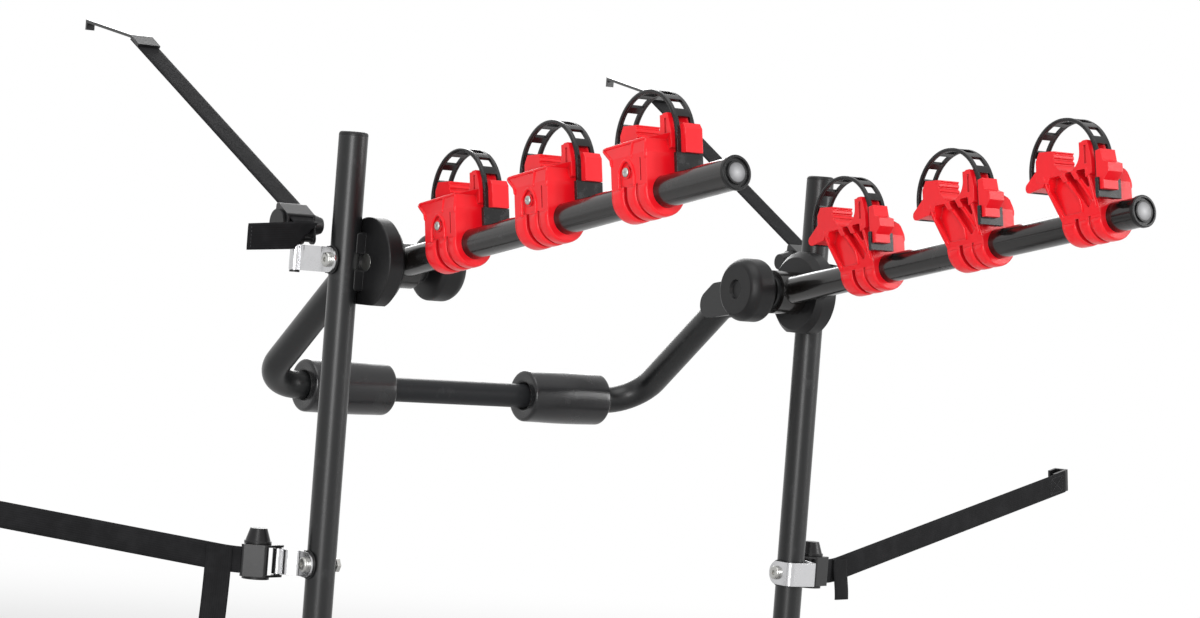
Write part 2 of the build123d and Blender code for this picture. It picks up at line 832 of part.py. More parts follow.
def build_bracket_bolt(height, inner, outer):
    """Bolt along X between two faces, with a domed head outboard and a nut inboard."""
    with BuildPart() as bolt:
        with BuildSketch(across(inner)):
            with Locations((0, height)):
                Circle(bolt_radius)
        extrude(amount=outer - inner)
        with BuildSketch(across(outer)):
            with Locations((0, height)):
                Circle(bolt_head_radius)
        extrude(amount=bolt_head_height)
        fillet(bolt.edges().filter_by(GeomType.CIRCLE).sort_by(Axis.X)[-1], bolt_head_height / 2)
        with BuildSketch(across(outer + bolt_head_height)):
            with Locations((0, height)):
                RegularPolygon(bolt_radius / 2 + 0.5, 6)
        extrude(amount=-bolt_head_height / 2, mode=Mode.SUBTRACT)
        with BuildSketch(across(inner)):
            with Locations((0, height)):
                RegularPolygon(bolt_head_radius, 6)
        extrude(amount=-bolt_head_height)
    return bolt


def build_link():
    """Eye on the upper buckle's bar with a pin down through the bracket's loop."""
    foot = hub_height - strip_width / 2 - running_gap
    with BuildPart() as link:
        with BuildSketch(across(pin_x)):
            with Locations((upper_bar.Y, upper_bar.Z)):
                Circle(ring_radius + ring_wall)
        extrude(amount=link_width / 2, both=True)
        with BuildSketch(Plane.XY.offset(foot)):
            with Locations((pin_x, pin_y)):
                Circle(bar_radius)
        extrude(amount=upper_bar.Z - ring_radius - foot)
        with BuildSketch(Plane.XY.offset(foot)):
            with Locations((pin_x, pin_y)):
                Circle(link_foot)
        extrude(amount=-2)
        with BuildSketch(across(pin_x)):
            with Locations((upper_bar.Y, upper_bar.Z)):
                Circle(ring_radius)
        extrude(amount=link_width, both=True, mode=Mode.SUBTRACT)
    return link


# Cam buckles: frame, lever with its drum, and the places where they hang

def buckle_plane(bar, run, spread):
    """Plane through the drum's axis, X along the strap and Z across it, from the bar's place."""
    flat = Plane(origin=bar, x_dir=run, z_dir=spread)
    return Plane(origin=flat.from_local_coords(Vector(-bar_u, -bar_n, 0)), x_dir=run, z_dir=spread)


def build_frame(seat):
    """Two cheeks joined by the bar and by the plate over the webbing."""
    cheek_outer = cheek_half + cheek_thickness
    with BuildPart() as frame:
        with BuildSketch(seat):
            with Locations((bar_u, bar_n)):
                Circle(bar_radius + 2)
            with Locations((0, 0)):
                Circle(drum_radius - 3)
            with Locations((plate_front - 3, plate_n - 1.5), (-8, plate_n - 1.5)):
                Circle(3)
            make_hull()
        extrude(amount=cheek_outer, both=True)
        with BuildSketch(seat):
            with Locations((0, plate_n)):
                Rectangle(6 * drum_radius, 6 * drum_radius, align=(Align.CENTER, Align.MAX))
        extrude(amount=cheek_half, both=True, mode=Mode.SUBTRACT)
        with BuildSketch(seat):
            with Locations((bar_u, bar_n)):
                Circle(bar_radius)
        extrude(amount=cheek_outer, both=True)
        with BuildSketch(seat):
            Circle(cam_pin + fit_gap)
        extrude(amount=cheek_outer, both=True, mode=Mode.SUBTRACT)
    return frame


def build_lever(seat):
    """Drum on its pin between the cheeks, a disc outside each cheek and a thumb lip."""
    disc_start = cheek_half + cheek_thickness + running_gap
    turn = math.radians(lip_angle)
    lip_end = (lip_reach * math.cos(turn), lip_reach * math.sin(turn))
    with BuildPart() as lever:
        with BuildSketch(seat):
            Circle(drum_radius)
            with BuildLine():
                Line((0, 0), lip_end)
            trace(line_width=lip_thickness)
        extrude(amount=cheek_half - soft_gap, both=True)
        with BuildSketch(seat):
            Circle(cam_pin)
        extrude(amount=disc_start + drum_end_width, both=True)
        for side in (-1, 1):
            with BuildSketch(seat.offset(side * disc_start)):
                Circle(drum_end_radius)
            extrude(amount=side * drum_end_width)
        with BuildSketch(seat.offset(-disc_start - drum_end_width)):
            Circle(drum_end_radius - 1)
        extrude(amount=-drum_tip, taper=drum_taper)
    return lever


# Webbing: one band in the buckle, one to the hook and the folded tail

def band_plane(start, finish, across_band):
    """Plane with X from start to finish and Z close to the band's own width."""
    run = (finish - start).normalized()
    width = across_band - run * across_band.dot(run)
    return Plane(origin=start, x_dir=run, z_dir=width.normalized())


def build_band(seat, back, front):
    """Straight part of the webbing through a buckle."""
    with BuildPart() as band:
        with BuildSketch(seat):
            with Locations((back, web_n)):
                Rectangle(front - back, web_thickness, align=(Align.MIN, Align.CENTER))
        extrude(amount=web_width / 2, both=True)
    return band


def build_run(run_plane, length):
    """Straight part of the webbing outside a buckle."""
    with BuildPart() as run:
        with BuildSketch(run_plane):
            Rectangle(length, web_thickness, align=(Align.MIN, Align.CENTER))
        extrude(amount=web_width / 2, both=True)
    return run


def build_upper_strap(seat):
    """Webbing from its tail behind the bracket through the buckle to the hatch."""
    start = seat.from_local_coords(Vector(plate_front + 4, web_n, 0))
    fold = seat.from_local_coords(Vector(bar_u - 2, web_n, 0))
    bend = Vector(*upper_strap_bend)
    run_plane = band_plane(start, bend, rightward)
    edge = -web_width / 2
    with BuildPart() as strap:
        add(build_band(seat, bar_u - 2, plate_front + 6).part)
        add(build_run(run_plane, (bend - start).length).part)
        behind = fold + Vector(0, web_thickness / 2, 0)
        with BuildSketch(Plane(origin=behind, x_dir=(1, 0, 0), z_dir=(0, -1, 0))):
            with BuildLine():
                Polyline((edge, web_thickness / 2), (-edge, web_thickness / 2), (tail_length, -4),
                         (tail_length, -4 - web_width), (-edge, -web_width), close=True)
            make_face()
        extrude(amount=web_thickness)
    return strap


def build_side_strap(seat, run, tail):
    """Webbing from the side buckle to its hook, with the tail folded down over it."""
    start = seat.from_local_coords(Vector(plate_front + 10, web_n, 0))
    finish = start + Vector(*run)
    with BuildPart() as strap:
        add(build_band(seat, -12, plate_front + 12).part)
        add(build_run(band_plane(start, finish, side_fall), Vector(*run).length).part)
        with BuildSketch(seat):
            with Locations((plate_front + 8, web_n)):
                Rectangle(web_width, 1.5 * web_thickness, align=(Align.MIN, Align.MIN))
        extrude(amount=web_width / 2, both=True)
        with BuildSketch(seat):
            with Locations((plate_front + 8, web_n + web_thickness / 2)):
                Rectangle(web_width, web_thickness, align=(Align.MIN, Align.MIN))
        extrude(amount=tail)
    return strap


def build_upper_hook():
    """Flat hook over the edge of the hatch, tapering to its lip."""
    bend = Vector(*upper_strap_bend)
    tip = Vector(*upper_strap_tip)
    lift = (web_thickness + hook_thickness + fit_gap) / 2 / math.cos(strap_slope)
    back = (bend - upper_start).normalized() * hook_overlap
    side = Plane(origin=bend, x_dir=(0, 1, 0), z_dir=(1, 0, 0))
    drift = (tip.X - bend.X) / (tip.Y - bend.Y)
    with BuildPart() as hook:
        with BuildSketch(side):
            with BuildLine():
                Polyline((-back.Y, lift - back.Z), (0, lift), (tip.Y - bend.Y, lift + tip.Z - bend.Z),
                         (tip.Y - bend.Y, lift + tip.Z - bend.Z - upper_hook_lip))
            trace(line_width=hook_thickness)
        extrude(amount=2 * web_width, both=True)
        with BuildSketch(Plane.XY.offset(bend.Z - 4 * hook_lip)):
            with BuildLine():
                Polyline((bend.X - back.X - web_width / 2, bend.Y - 2 * hook_overlap),
                         (bend.X - web_width / 2, bend.Y),
                         (tip.X - hook_tip_width / 2, tip.Y + 5), (tip.X + hook_tip_width / 2, tip.Y + 5),
                         (bend.X + web_width / 2, bend.Y),
                         (bend.X - back.X + web_width / 2, bend.Y - 2 * hook_overlap), close=True)
            make_face()
        extrude(amount=8 * hook_lip, mode=Mode.INTERSECT)
    return hook


def build_side_hook(seat, run):
    """Bent flat hook behind the end of a side strap."""
    start = seat.from_local_coords(Vector(plate_front + 10, web_n, 0))
    finish = start + Vector(*run)
    plane = band_plane(finish, finish + Vector(*run), side_fall)
    drop = -(web_thickness + hook_thickness) / 2 - fit_gap
    with BuildPart() as hook:
        with BuildSketch(plane):
            with BuildLine():
                Polyline((-hook_overlap, drop), (hook_lip / 2, drop), (hook_lip / 2, drop - hook_lip),
                         (-hook_lip / 2, drop - hook_lip))
            trace(line_width=hook_thickness)
        extrude(amount=web_width / 2, both=True)
    return hook


upper_seat = buckle_plane(upper_bar, upper_run, rightward)
upper_start = upper_seat.from_local_coords(Vector(plate_front + 4, web_n, 0))
side_bar = Vector(pin_x, side_pin_y, side_bolt_height)
left_run = Vector(left_strap_run[0], left_strap_run[1], 0).normalized()
right_run = Vector(right_strap_run[0], right_strap_run[1], 0).normalized()
left_seat = buckle_plane(side_bar, left_run, side_fall)
right_seat = buckle_plane(side_bar, right_run, side_fall)

# Writing the fixed frame

write_pair(build_upright(), "upright")
write_both_as_one(build_upright_cap(), "upright_caps")
write_both_as_one(build_elbow(), "lower_elbows")
write(build_crossbar(), "lower_crossbar")
write_both_as_one(build_pad(lower_pad_x, 0, 0), "lower_pads")
write_pair(build_housing(), "hub_housing")
write_both_as_one(build_pivot_bolt(), "pivot_bolts")
write_both_as_one(build_washer(), "hub_washers")

write_both_as_one(build_bracket(hub_height, pin_y), "upper_brackets")
left_bracket = build_bracket(side_bolt_height, side_pin_y)
with BuildPart() as side_brackets:
    mirror(left_bracket.part, about=Plane.YZ)
    add(build_bracket(side_bolt_height, side_pin_y, inboard=True).part)
write(side_brackets, "side_brackets")
write_both_as_one(build_link(), "upper_links")

upper_lining = build_lining(hub_height)
left_lining = build_lining(side_bolt_height)
right_lining = build_lining(side_bolt_height, inboard=True)
with BuildPart() as bracket_linings:
    add(upper_lining.part)
    mirror(upper_lining.part, about=Plane.YZ)
    mirror(left_lining.part, about=Plane.YZ)
    add(right_lining.part)
write(bracket_linings, "bracket_linings")

bolt_seat = strip_x + strip_thickness / 2 + fit_gap
upper_bolt = build_bracket_bolt(hub_height, disc_inner + running_gap + bolt_head_height, bolt_seat)
side_bolt = build_bracket_bolt(side_bolt_height, upright_x - tube_radius - running_gap, bolt_seat)
with BuildPart() as bracket_bolts:
    add(upper_bolt.part)
    mirror(upper_bolt.part, about=Plane.YZ)
    mirror(side_bolt.part, about=Plane.YZ)
    mirror(side_bolt.part, about=across(upright_x))
write(bracket_bolts, "bracket_bolts")

write_both_as_one(build_frame(upper_seat), "upper_buckles")
left_frame = build_frame(left_seat)
with BuildPart() as side_buckles:
    mirror(left_frame.part, about=Plane.YZ)
    add(build_frame(right_seat).part)
write(side_buckles, "side_buckles")
write_pair(build_lever(upper_seat), "upper_lever")
write_left(build_lever(left_seat), "left_side_lever")
write(build_lever(right_seat), "right_side_lever")

write_pair(build_upper_strap(upper_seat), "upper_strap")
write_left(build_side_strap(left_seat, left_strap_run, side_tail_length), "left_side_strap")
write(build_side_strap(right_seat, right_strap_run, short_tail_length), "right_side_strap")
write_both_as_one(build_upper_hook(), "upper_hooks")

left_hook = build_side_hook(left_seat, left_strap_run)
with BuildPart() as side_hooks:
    mirror(left_hook.part, about=Plane.YZ)
    add(build_side_hook(right_seat, right_strap_run).part)
write(side_hooks, "side_hooks")

# Writing the support frame

write_pair(build_leg(), "support_leg")
write_both_as_one(build_lug(), "leg_lugs")
write(build_support_bar(), "support_bar")
write_pair(build_pad(window_pad_x, bar_y, bar_z), "window_pad")

# Writing the arms with all that rides on them

write_pair(build_arm(), "arm")
write_pair(build_arm_cap(), "arm_cap")
write_pair(build_knob(), "knob")

left_reaches = spread_reaches(left_first_reach, left_tip_gap)
right_reaches = spread_reaches(right_first_reach, right_tip_gap)
write_left(build_screws(left_reaches), "left_cradle_screws")
write(build_screws(right_reaches), "right_cradle_screws")
for number in range(cradles_per_arm):
    write_left(build_cradle(left_reaches[number]), f"left_cradle_{number + 1}")
    write_left(build_ladder(left_reaches[number]), f"left_ladder_{number + 1}")
    write_left(build_catch(left_reaches[number], stepped=False), f"left_catch_{number + 1}")
    write(build_cradle(right_reaches[number]), f"right_cradle_{number + 1}")
    write(build_ladder(right_reaches[number]), f"right_ladder_{number + 1}")
    write(build_catch(right_reaches[number], stepped=True), f"right_catch_{number + 1}")
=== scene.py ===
"""Rear bike rack: finishes, webbing, foam sleeves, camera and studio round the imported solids."""
import json
import logging
import math
from dataclasses import dataclass, field
from enum import Enum
from typing import Callable, Optional, Union

import bmesh
import bpy
from mathutils import Matrix, Vector, noise


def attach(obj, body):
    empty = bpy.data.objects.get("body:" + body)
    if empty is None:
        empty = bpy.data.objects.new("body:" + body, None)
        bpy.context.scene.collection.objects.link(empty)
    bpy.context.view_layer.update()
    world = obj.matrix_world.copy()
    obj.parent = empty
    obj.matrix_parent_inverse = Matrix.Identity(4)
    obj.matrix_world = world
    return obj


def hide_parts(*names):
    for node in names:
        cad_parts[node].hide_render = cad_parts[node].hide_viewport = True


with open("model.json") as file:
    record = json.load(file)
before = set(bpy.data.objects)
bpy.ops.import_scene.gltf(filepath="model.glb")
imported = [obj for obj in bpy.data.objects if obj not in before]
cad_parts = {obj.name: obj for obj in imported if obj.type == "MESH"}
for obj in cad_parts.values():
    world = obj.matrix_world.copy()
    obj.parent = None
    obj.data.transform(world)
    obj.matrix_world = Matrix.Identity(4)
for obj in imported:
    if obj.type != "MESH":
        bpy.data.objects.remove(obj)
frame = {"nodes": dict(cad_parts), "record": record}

log = logging.getLogger("rear_bike_rack")
Pair = tuple[float, float]
Triple = tuple[float, float, float]
Color = Triple
Operand = Union["Level", int, float]
Node = bpy.types.Node
Socket = bpy.types.NodeSocket
Material = bpy.types.Material
Object = bpy.types.Object
Mesh = bmesh.types.BMesh
Vert = bmesh.types.BMVert
Face = bmesh.types.BMFace

MM_PER_METRE = 1000
BEVEL_SAMPLES = 4
HOLLOW_SAMPLES = 6
CORNER_SHARE = 0.45
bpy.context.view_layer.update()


def srgb(red: int, green: int, blue: int) -> Color:
    """Turn a colour of 0 to 255 into the linear values that a shader takes, by the sRGB curve.

    Args:
        red: red channel as a screen shows it.
        green: green channel as a screen shows it.
        blue: blue channel as a screen shows it.

    Returns:
        The three linear channels.
    """
    parts = []
    for channel in (red, green, blue):
        share = channel / 255
        parts.append(share / 12.92 if share <= 0.04045 else ((share + 0.055) / 1.055) ** 2.4)
    return parts[0], parts[1], parts[2]


class Side(Enum):
    """Which half of the rack a piece belongs to, by the sign of its X."""

    LEFT = -1
    RIGHT = 1

    @property
    def word(self) -> str:
        """Name of the side as the nodes spell it."""
        return self.name.lower()


class Level:
    """One value socket of a shader, on which Python's operators add Math nodes."""

    def __init__(self, shader: "Shader", socket: Socket) -> None:
        """Keep the shader and the socket.

        Args:
            shader: shader that owns the socket.
            socket: output socket that carries the value.
        """
        self.shader = shader
        self.socket = socket

    def _math(self, operation: str, *values: Operand) -> "Level":
        """Add one Math node.

        Args:
            operation: name of the node's operation.
            values: what its sockets take, in order.

        Returns:
            The node's result.
        """
        made = self.shader.node("ShaderNodeMath", {"operation": operation}, dict(enumerate(values)))
        return Level(self.shader, made.outputs[0])

    def __add__(self, other: Operand) -> "Level":
        """Sum of the two."""
        return self._math("ADD", self, other)

    def __radd__(self, other: Operand) -> "Level":
        """Sum of the two, with the number first."""
        return self._math("ADD", other, self)

    def __sub__(self, other: Operand) -> "Level":
        """Difference of the two."""
        return self._math("SUBTRACT", self, other)

    def __rsub__(self, other: Operand) -> "Level":
        """Difference of the two, with the number first."""
        return self._math("SUBTRACT", other, self)

    def __mul__(self, other: Operand) -> "Level":
        """Product of the two."""
        return self._math("MULTIPLY", self, other)

    def __rmul__(self, other: Operand) -> "Level":
        """Product of the two, with the number first."""
        return self._math("MULTIPLY", other, self)

    def __truediv__(self, other: Operand) -> "Level":
        """Quotient of the two."""
        return self._math("DIVIDE", self, other)

    def __rtruediv__(self, other: Operand) -> "Level":
        """Quotient of the two, with the number first."""
        return self._math("DIVIDE", other, self)

    def wave(self, low: float = 0.0) -> "Level":
        """Wave between a low value and 1, with this value as its angle in radians."""
        half = (1 - low) / 2
        return self._math("SINE", self) * half + (1 - half)

    def absolute(self) -> "Level":
        """Size of this value without its sign."""
        return self._math("ABSOLUTE", self)

    def larger(self, other: Operand) -> "Level":
        """Larger of the two."""
        return self._math("MAXIMUM", self, other)

    def ramp(self, low: float, high: float) -> "Level":
        """Rise smoothly from 0 to 1 between two values.

        Args:
            low: value at which the result leaves 0.
            high: value at which the result reaches 1.

        Returns:
            The eased result, or its fall where low is above high.
        """
        made = self.shader.node("ShaderNodeMapRange", {"interpolation_type": "SMOOTHSTEP"},
                                {"Value": self, "From Min": low, "From Max": high})
        return Level(self.shader, made.outputs["Result"])


Link = Union[Level, Socket, int, float, tuple]
Sockets = dict[Union[str, int], Link]


@dataclass(frozen=True)
class Cloud:
    """Cloudy pattern: patch size in metres, finer layers, levels that it fades in between, stretch."""

    size: float
    detail: float
    rough: float
    limits: Optional[Pair] = None
    stretch: Optional[Triple] = None


class Shader:
    """Node tree of one material or of the world, from an empty tree to its finished surface."""

    def __init__(self, owner: Union[Material, bpy.types.World]) -> None:
        """Empty the owner's tree.

        Args:
            owner: material or world that is given its look.
        """
        self.owner = owner
        owner.use_nodes = True
        self.tree = owner.node_tree
        self.tree.nodes.clear()
        self._place: Optional[Node] = None

    def node(self, kind: str, settings: Optional[dict[str, object]] = None,
             sockets: Optional[Sockets] = None) -> Node:
        """Add a node, with its settings first and then the values or links of its sockets.

        Args:
            kind: node's type.
            settings: its attributes.
            sockets: value or link of each socket, by its name or number.

        Returns:
            The new node.
        """
        made = self.tree.nodes.new(kind)
        for key, value in (settings or {}).items():
            setattr(made, key, value)
        for key, value in (sockets or {}).items():
            self._feed(made.inputs[key], value)
        return made

    def _feed(self, socket: Socket, value: Link) -> None:
        """Link a socket or set its value.

        Args:
            socket: input socket.
            value: what it takes.
        """
        source = value.socket if isinstance(value, Level) else value
        if isinstance(source, Socket):
            self.tree.links.new(source, socket)
        elif socket.type == "RGBA":
            socket.default_value = (*value[:3], 1)
        else:
            socket.default_value = value

    def place(self) -> Socket:
        """Place on the piece at rest, in metres, as the solids have it.

        Returns:
            The socket with the place.
        """
        if self._place is None:
            self._place = self.node("ShaderNodeTexCoord")
        return self._place.outputs["Object"]

    def along_and_across(self) -> tuple[Level, Level]:
        """Distance along a band and across it, in metres, from its map."""
        parts = self.node("ShaderNodeSeparateXYZ", None, {0: self.node("ShaderNodeUVMap").outputs["UV"]})
        return Level(self, parts.outputs["X"]), Level(self, parts.outputs["Y"])

    def vector(self, operation: str, *values: Link) -> Node:
        """Add one Vector Math node.

        Args:
            operation: name of the node's operation.
            values: what its sockets take, in order.

        Returns:
            The new node.
        """
        return self.node("ShaderNodeVectorMath", {"operation": operation}, dict(enumerate(values)))

    def cloud(self, look: Cloud) -> Level:
        """Soft noise over the piece.

        Args:
            look: size, layers, limits and stretch of its patches.

        Returns:
            Values round 0.5, or from 0 to 1 where it has limits.
        """
        where: Link = self.place()
        if look.stretch:
            where = self.node("ShaderNodeMapping", None, {"Vector": where, "Scale": look.stretch}).outputs[0]
        made = self.node("ShaderNodeTexNoise", None, {"Vector": where, "Scale": 1 / look.size,
                                                      "Detail": look.detail, "Roughness": look.rough})
        level = Level(self, made.outputs["Fac"])
        return level.ramp(*look.limits) if look.limits else level

    def cells(self, size: float) -> Level:
        """Distance to the nearest of many scattered points.

        Args:
            size: spacing of the points in metres.

        Returns:
            Values from 0 at a point to about 1 between them.
        """
        made = self.node("ShaderNodeTexVoronoi", None, {"Vector": self.place(), "Scale": 1 / size})
        return Level(self, made.outputs["Distance"])

    def rounded(self, radius: float) -> Socket:
        """Normal of the piece with its sharp edges rounded off to a radius in metres."""
        made = self.node("ShaderNodeBevel", {"samples": BEVEL_SAMPLES}, {"Radius": radius})
        return made.outputs["Normal"]

    def edge_share(self, radius: float, limits: Pair) -> Level:
        """Share by which a place lies on a sharp edge.

        Args:
            radius: radius in metres to which the edges are rounded off.
            limits: turn of the normal at which the share leaves 0 and reaches 1.

        Returns:
            Share from 0 on a flat to 1 on the edge.
        """
        flat = self.node("ShaderNodeNewGeometry").outputs["Normal"]
        turned = self.vector("DOT_PRODUCT", self.rounded(radius), flat)
        return (1 - Level(self, turned.outputs["Value"])).ramp(*limits)

    def painted_shade_share(self, distance: float, limits: Pair) -> Level:
        """Share by which a place lies in a hollow of its own piece, used as the mask of painted shade.

        Args:
            distance: distance in metres within which the walls of a hollow count.
            limits: cover at which the share leaves 0 and reaches 1.

        Returns:
            Share from 0 in the open to 1 deep in a hollow.
        """
        made = self.node("ShaderNodeAmbientOcclusion", {"samples": HOLLOW_SAMPLES, "only_local": True},
                         {"Distance": distance})
        return (1 - Level(self, made.outputs["AO"])).ramp(*limits)

    def blend(self, share: Link, first: Link, second: Link) -> Socket:
        """Mix two colours.

        Args:
            share: share of the second one.
            first: colour at 0.
            second: colour at 1.

        Returns:
            The mixed colour.
        """
        made = self.node("ShaderNodeMix", {"data_type": "RGBA"}, {0: share, 6: first, 7: second})
        return made.outputs[2]

    def bump(self, height: Level, depth: Pair, under: Optional[Socket] = None) -> Socket:
        """Turn heights into a normal.

        Args:
            height: height from 0 to 1.
            depth: real height of 1 in metres, and share of the effect.
            under: normal of a coarser bump, or None.

        Returns:
            The bent normal.
        """
        sockets: Sockets = {"Height": height, "Distance": depth[0], "Strength": depth[1]}
        if under is not None:
            sockets["Normal"] = under
        return self.node("ShaderNodeBump", None, sockets).outputs["Normal"]

    def close(self, surface: Node, output: str = "ShaderNodeOutputMaterial") -> None:
        """Send a surface or a background to the tree's output."""
        self.node(output, None, {"Surface": surface.outputs[0]})

    def close_mixed(self, share: Level, first: Node, second: Node, output: str) -> None:
        """Close the tree with a mix of two surfaces.

        Args:
            share: share of the second one.
            first: surface at 0.
            second: surface at 1.
            output: type of the tree's output node.
        """
        self.close(self.node("ShaderNodeMixShader", None,
                             {0: share, 1: first.outputs[0], 2: second.outputs[0]}), output)


@dataclass(frozen=True)
class Finish:
    """What every finish has: name, main colour, roughness, mirror strength and rounded edges."""

    name: str
    color: Color
    shine: float
    mirror: float = 0.3
    edge: float = 0.0006
    edge_limits: Pair = (0.02, 0.2)

    def paint(self) -> Material:
        """Build the material of this finish.

        Returns:
            The finished material.
        """
        shader = Shader(bpy.data.materials.new(self.name))
        values = {"Specular IOR Level": self.mirror, **self.look(shader)}
        shader.close(shader.node("ShaderNodeBsdfPrincipled", None, values))
        return shader.owner

    def look(self, shader: Shader) -> Sockets:
        """Values and links of the surface's sockets, by their names."""
        raise NotImplementedError

    def shade(self, factor: float) -> Color:
        """Main colour times a factor."""
        red, green, blue = self.color
        return red * factor, green * factor, blue * factor


@dataclass(frozen=True)
class TubeLacquer(Finish):
    """Sprayed lacquer on steel tube, with orange peel, fine dust and a few rubbed streaks."""

    worn: Color = (0.1, 0.1, 0.105)
    dark: float = 0.75
    tint: Cloud = Cloud(0.12, 2, 0.5)
    streak: Cloud = Cloud(0.02, 5, 0.65, (0.58, 0.74))
    streak_share: float = 0.18
    streak_dull: float = 0.14
    dust: Cloud = Cloud(0.0009, 1, 0.5, (0.55, 0.8))
    dust_share: float = 0.05
    dust_dull: float = 0.06
    chip: Cloud = Cloud(0.004, 4, 0.7, (0.5, 0.62))
    chip_share: float = 0.6
    peel: Cloud = Cloud(0.0035, 2, 0.4)
    peel_depth: Pair = (0.00006, 0.5)
    coat: float = 0.2
    coat_shine: float = 0.3

    def look(self, shader: Shader) -> Sockets:
        """Tinted lacquer, rubbed in streaks and chipped along its edges.

        Args:
            shader: tree under work.

        Returns:
            Value or link of each socket of the surface.
        """
        streaks = shader.cloud(self.streak)
        dust = shader.cloud(self.dust)
        chipped = shader.edge_share(self.edge, self.edge_limits) * shader.cloud(self.chip)
        base = shader.blend(shader.cloud(self.tint), self.shade(self.dark), self.color)
        rubbed = shader.blend(streaks * self.streak_share + dust * self.dust_share, base, self.worn)
        return {"Base Color": shader.blend(chipped * self.chip_share, rubbed, self.worn),
                "Roughness": self.shine + streaks * self.streak_dull + dust * self.dust_dull,
                "Normal": shader.bump(shader.cloud(self.peel), self.peel_depth, shader.rounded(self.edge)),
                "Coat Weight": self.coat, "Coat Roughness": self.coat_shine}


@dataclass(frozen=True)
class MouldedPlastic(Finish):
    """Injection moulded plastic with a fine grain, flow marks, scuffs, edges paler from rubbed wear and a
    painted highlight, and painted shade in its recesses.
    """

    edge: float = 0.0009
    edge_limits: Pair = (0.01, 0.16)
    scuff: Color = (0.09, 0.09, 0.09)
    dark: float = 0.8
    flow: Cloud = Cloud(0.02, 3, 0.55, stretch=(1.0, 1.0, 0.6))
    flow_depth: Pair = (0.0003, 0.3)
    flow_dull: float = 0.1
    scratch: Cloud = Cloud(0.006, 6, 0.7, (0.64, 0.8), (1.0, 2.2, 1.0))
    scratch_share: float = 0.2
    scratch_dull: float = 0.15
    # share of the scuff colour along the edges: rubbed wear together with a painted highlight
    rubbed: float = 0.3
    grain: float = 0.0007
    grain_depth: Pair = (0.00003, 0.6)
    # painted shade: reach in metres of the occlusion that darkens the recesses, then its limits and how dark
    # it gets
    hollow: float = 0.006
    painted_shade_limits: Pair = (0.12, 0.75)
    painted_shade_dark: float = 0.5
    coat: float = 0.0
    coat_shine: float = 0.15

    def look(self, shader: Shader) -> Sockets:
        """Streaky plastic, scratched, paler along its edges from rubbed wear and a painted highlight, and
        darker in its recesses from painted shade.

        Args:
            shader: tree under work.

        Returns:
            Value or link of each socket of the surface.
        """
        flow = shader.cloud(self.flow)
        scratched = shader.cloud(self.scratch)
        rims = shader.edge_share(self.edge, self.edge_limits)
        base = shader.blend(flow, self.shade(self.dark), self.color)
        marked = shader.blend(scratched * self.scratch_share, base, self.scuff)
        # edges paler: rubbed wear together with a painted highlight
        worn_and_highlit = shader.blend(rims * self.rubbed, marked, self.scuff)
        # painted shade: ambient occlusion darkens the recesses of the piece
        painted_shade_mask = shader.painted_shade_share(self.hollow, self.painted_shade_limits)
        wavy = shader.bump(flow, self.flow_depth, shader.rounded(self.edge))
        return {"Base Color": shader.blend(painted_shade_mask, worn_and_highlit, self.shade(self.painted_shade_dark)),
                "Roughness": self.shine + flow * self.flow_dull + scratched * self.scratch_dull,
                "Normal": shader.bump(shader.cells(self.grain), self.grain_depth, wavy),
                "Coat Weight": self.coat, "Coat Roughness": self.coat_shine}


@dataclass(frozen=True)
class FoamSkin(Finish):
    """Skin of a closed-cell foam sleeve, with pores, dimples and dusty high spots."""

    pore: float = 0.0013
    pore_limits: Pair = (0.1, 0.45)
    pore_dark: float = 0.55
    pore_depth: Pair = (0.0001, 0.4)
    dimple: Cloud = Cloud(0.007, 4, 0.6)
    dimple_depth: Pair = (0.0001, 0.3)
    dust: Cloud = Cloud(0.03, 4, 0.6, (0.5, 0.78))
    dust_color: Color = (0.1, 0.1, 0.1)
    dust_share: float = 0.1
    dust_dull: float = 0.1
    sheen: float = 0.06

    def look(self, shader: Shader) -> Sockets:
        """Dark pores in a softly dimpled skin, with a little dust.

        Args:
            shader: tree under work.

        Returns:
            Value or link of each socket of the surface.
        """
        pores = shader.cells(self.pore)
        dusty = shader.cloud(self.dust)
        base = shader.blend(pores.ramp(*self.pore_limits), self.shade(self.pore_dark), self.color)
        soft = shader.bump(shader.cloud(self.dimple), self.dimple_depth)
        return {"Base Color": shader.blend(dusty * self.dust_share, base, self.dust_color),
                "Roughness": self.shine + dusty * self.dust_dull,
                "Normal": shader.bump(pores, self.pore_depth, soft), "Sheen Weight": self.sheen}


@dataclass(frozen=True)
class BrightMetal(Finish):
    """Plated or bare metal with fine drawn lines, dull spots and brighter edges."""

    mirror: float = 0.5
    metal: float = 1.0
    dark: float = 0.45
    bright: float = 1.25
    line: Cloud = Cloud(0.0006, 3, 0.6, stretch=(0.06, 0.06, 1.0))
    line_share: float = 0.2
    line_depth: Pair = (0.00001, 0.4)
    spot: Cloud = Cloud(0.02, 4, 0.6, (0.35, 0.8))
    spot_share: float = 0.22
    spot_dull: float = 0.12

    def look(self, shader: Shader) -> Sockets:
        """Drawn metal, darker in its lines and spots and brighter along its edges.

        Args:
            shader: tree under work.

        Returns:
            Value or link of each socket of the surface.
        """
        drawn = shader.cloud(self.line)
        dull = shader.cloud(self.spot)
        spoilt = dull * self.spot_share + drawn * self.line_share
        grey = shader.blend(spoilt, self.color, self.shade(self.dark))
        rims = shader.edge_share(self.edge, self.edge_limits)
        return {"Base Color": shader.blend(rims, grey, self.shade(self.bright)), "Metallic": self.metal,
                "Roughness": self.shine + drawn * self.line_share + dull * self.spot_dull,
                "Normal": shader.bump(drawn, self.line_depth, shader.rounded(self.edge))}


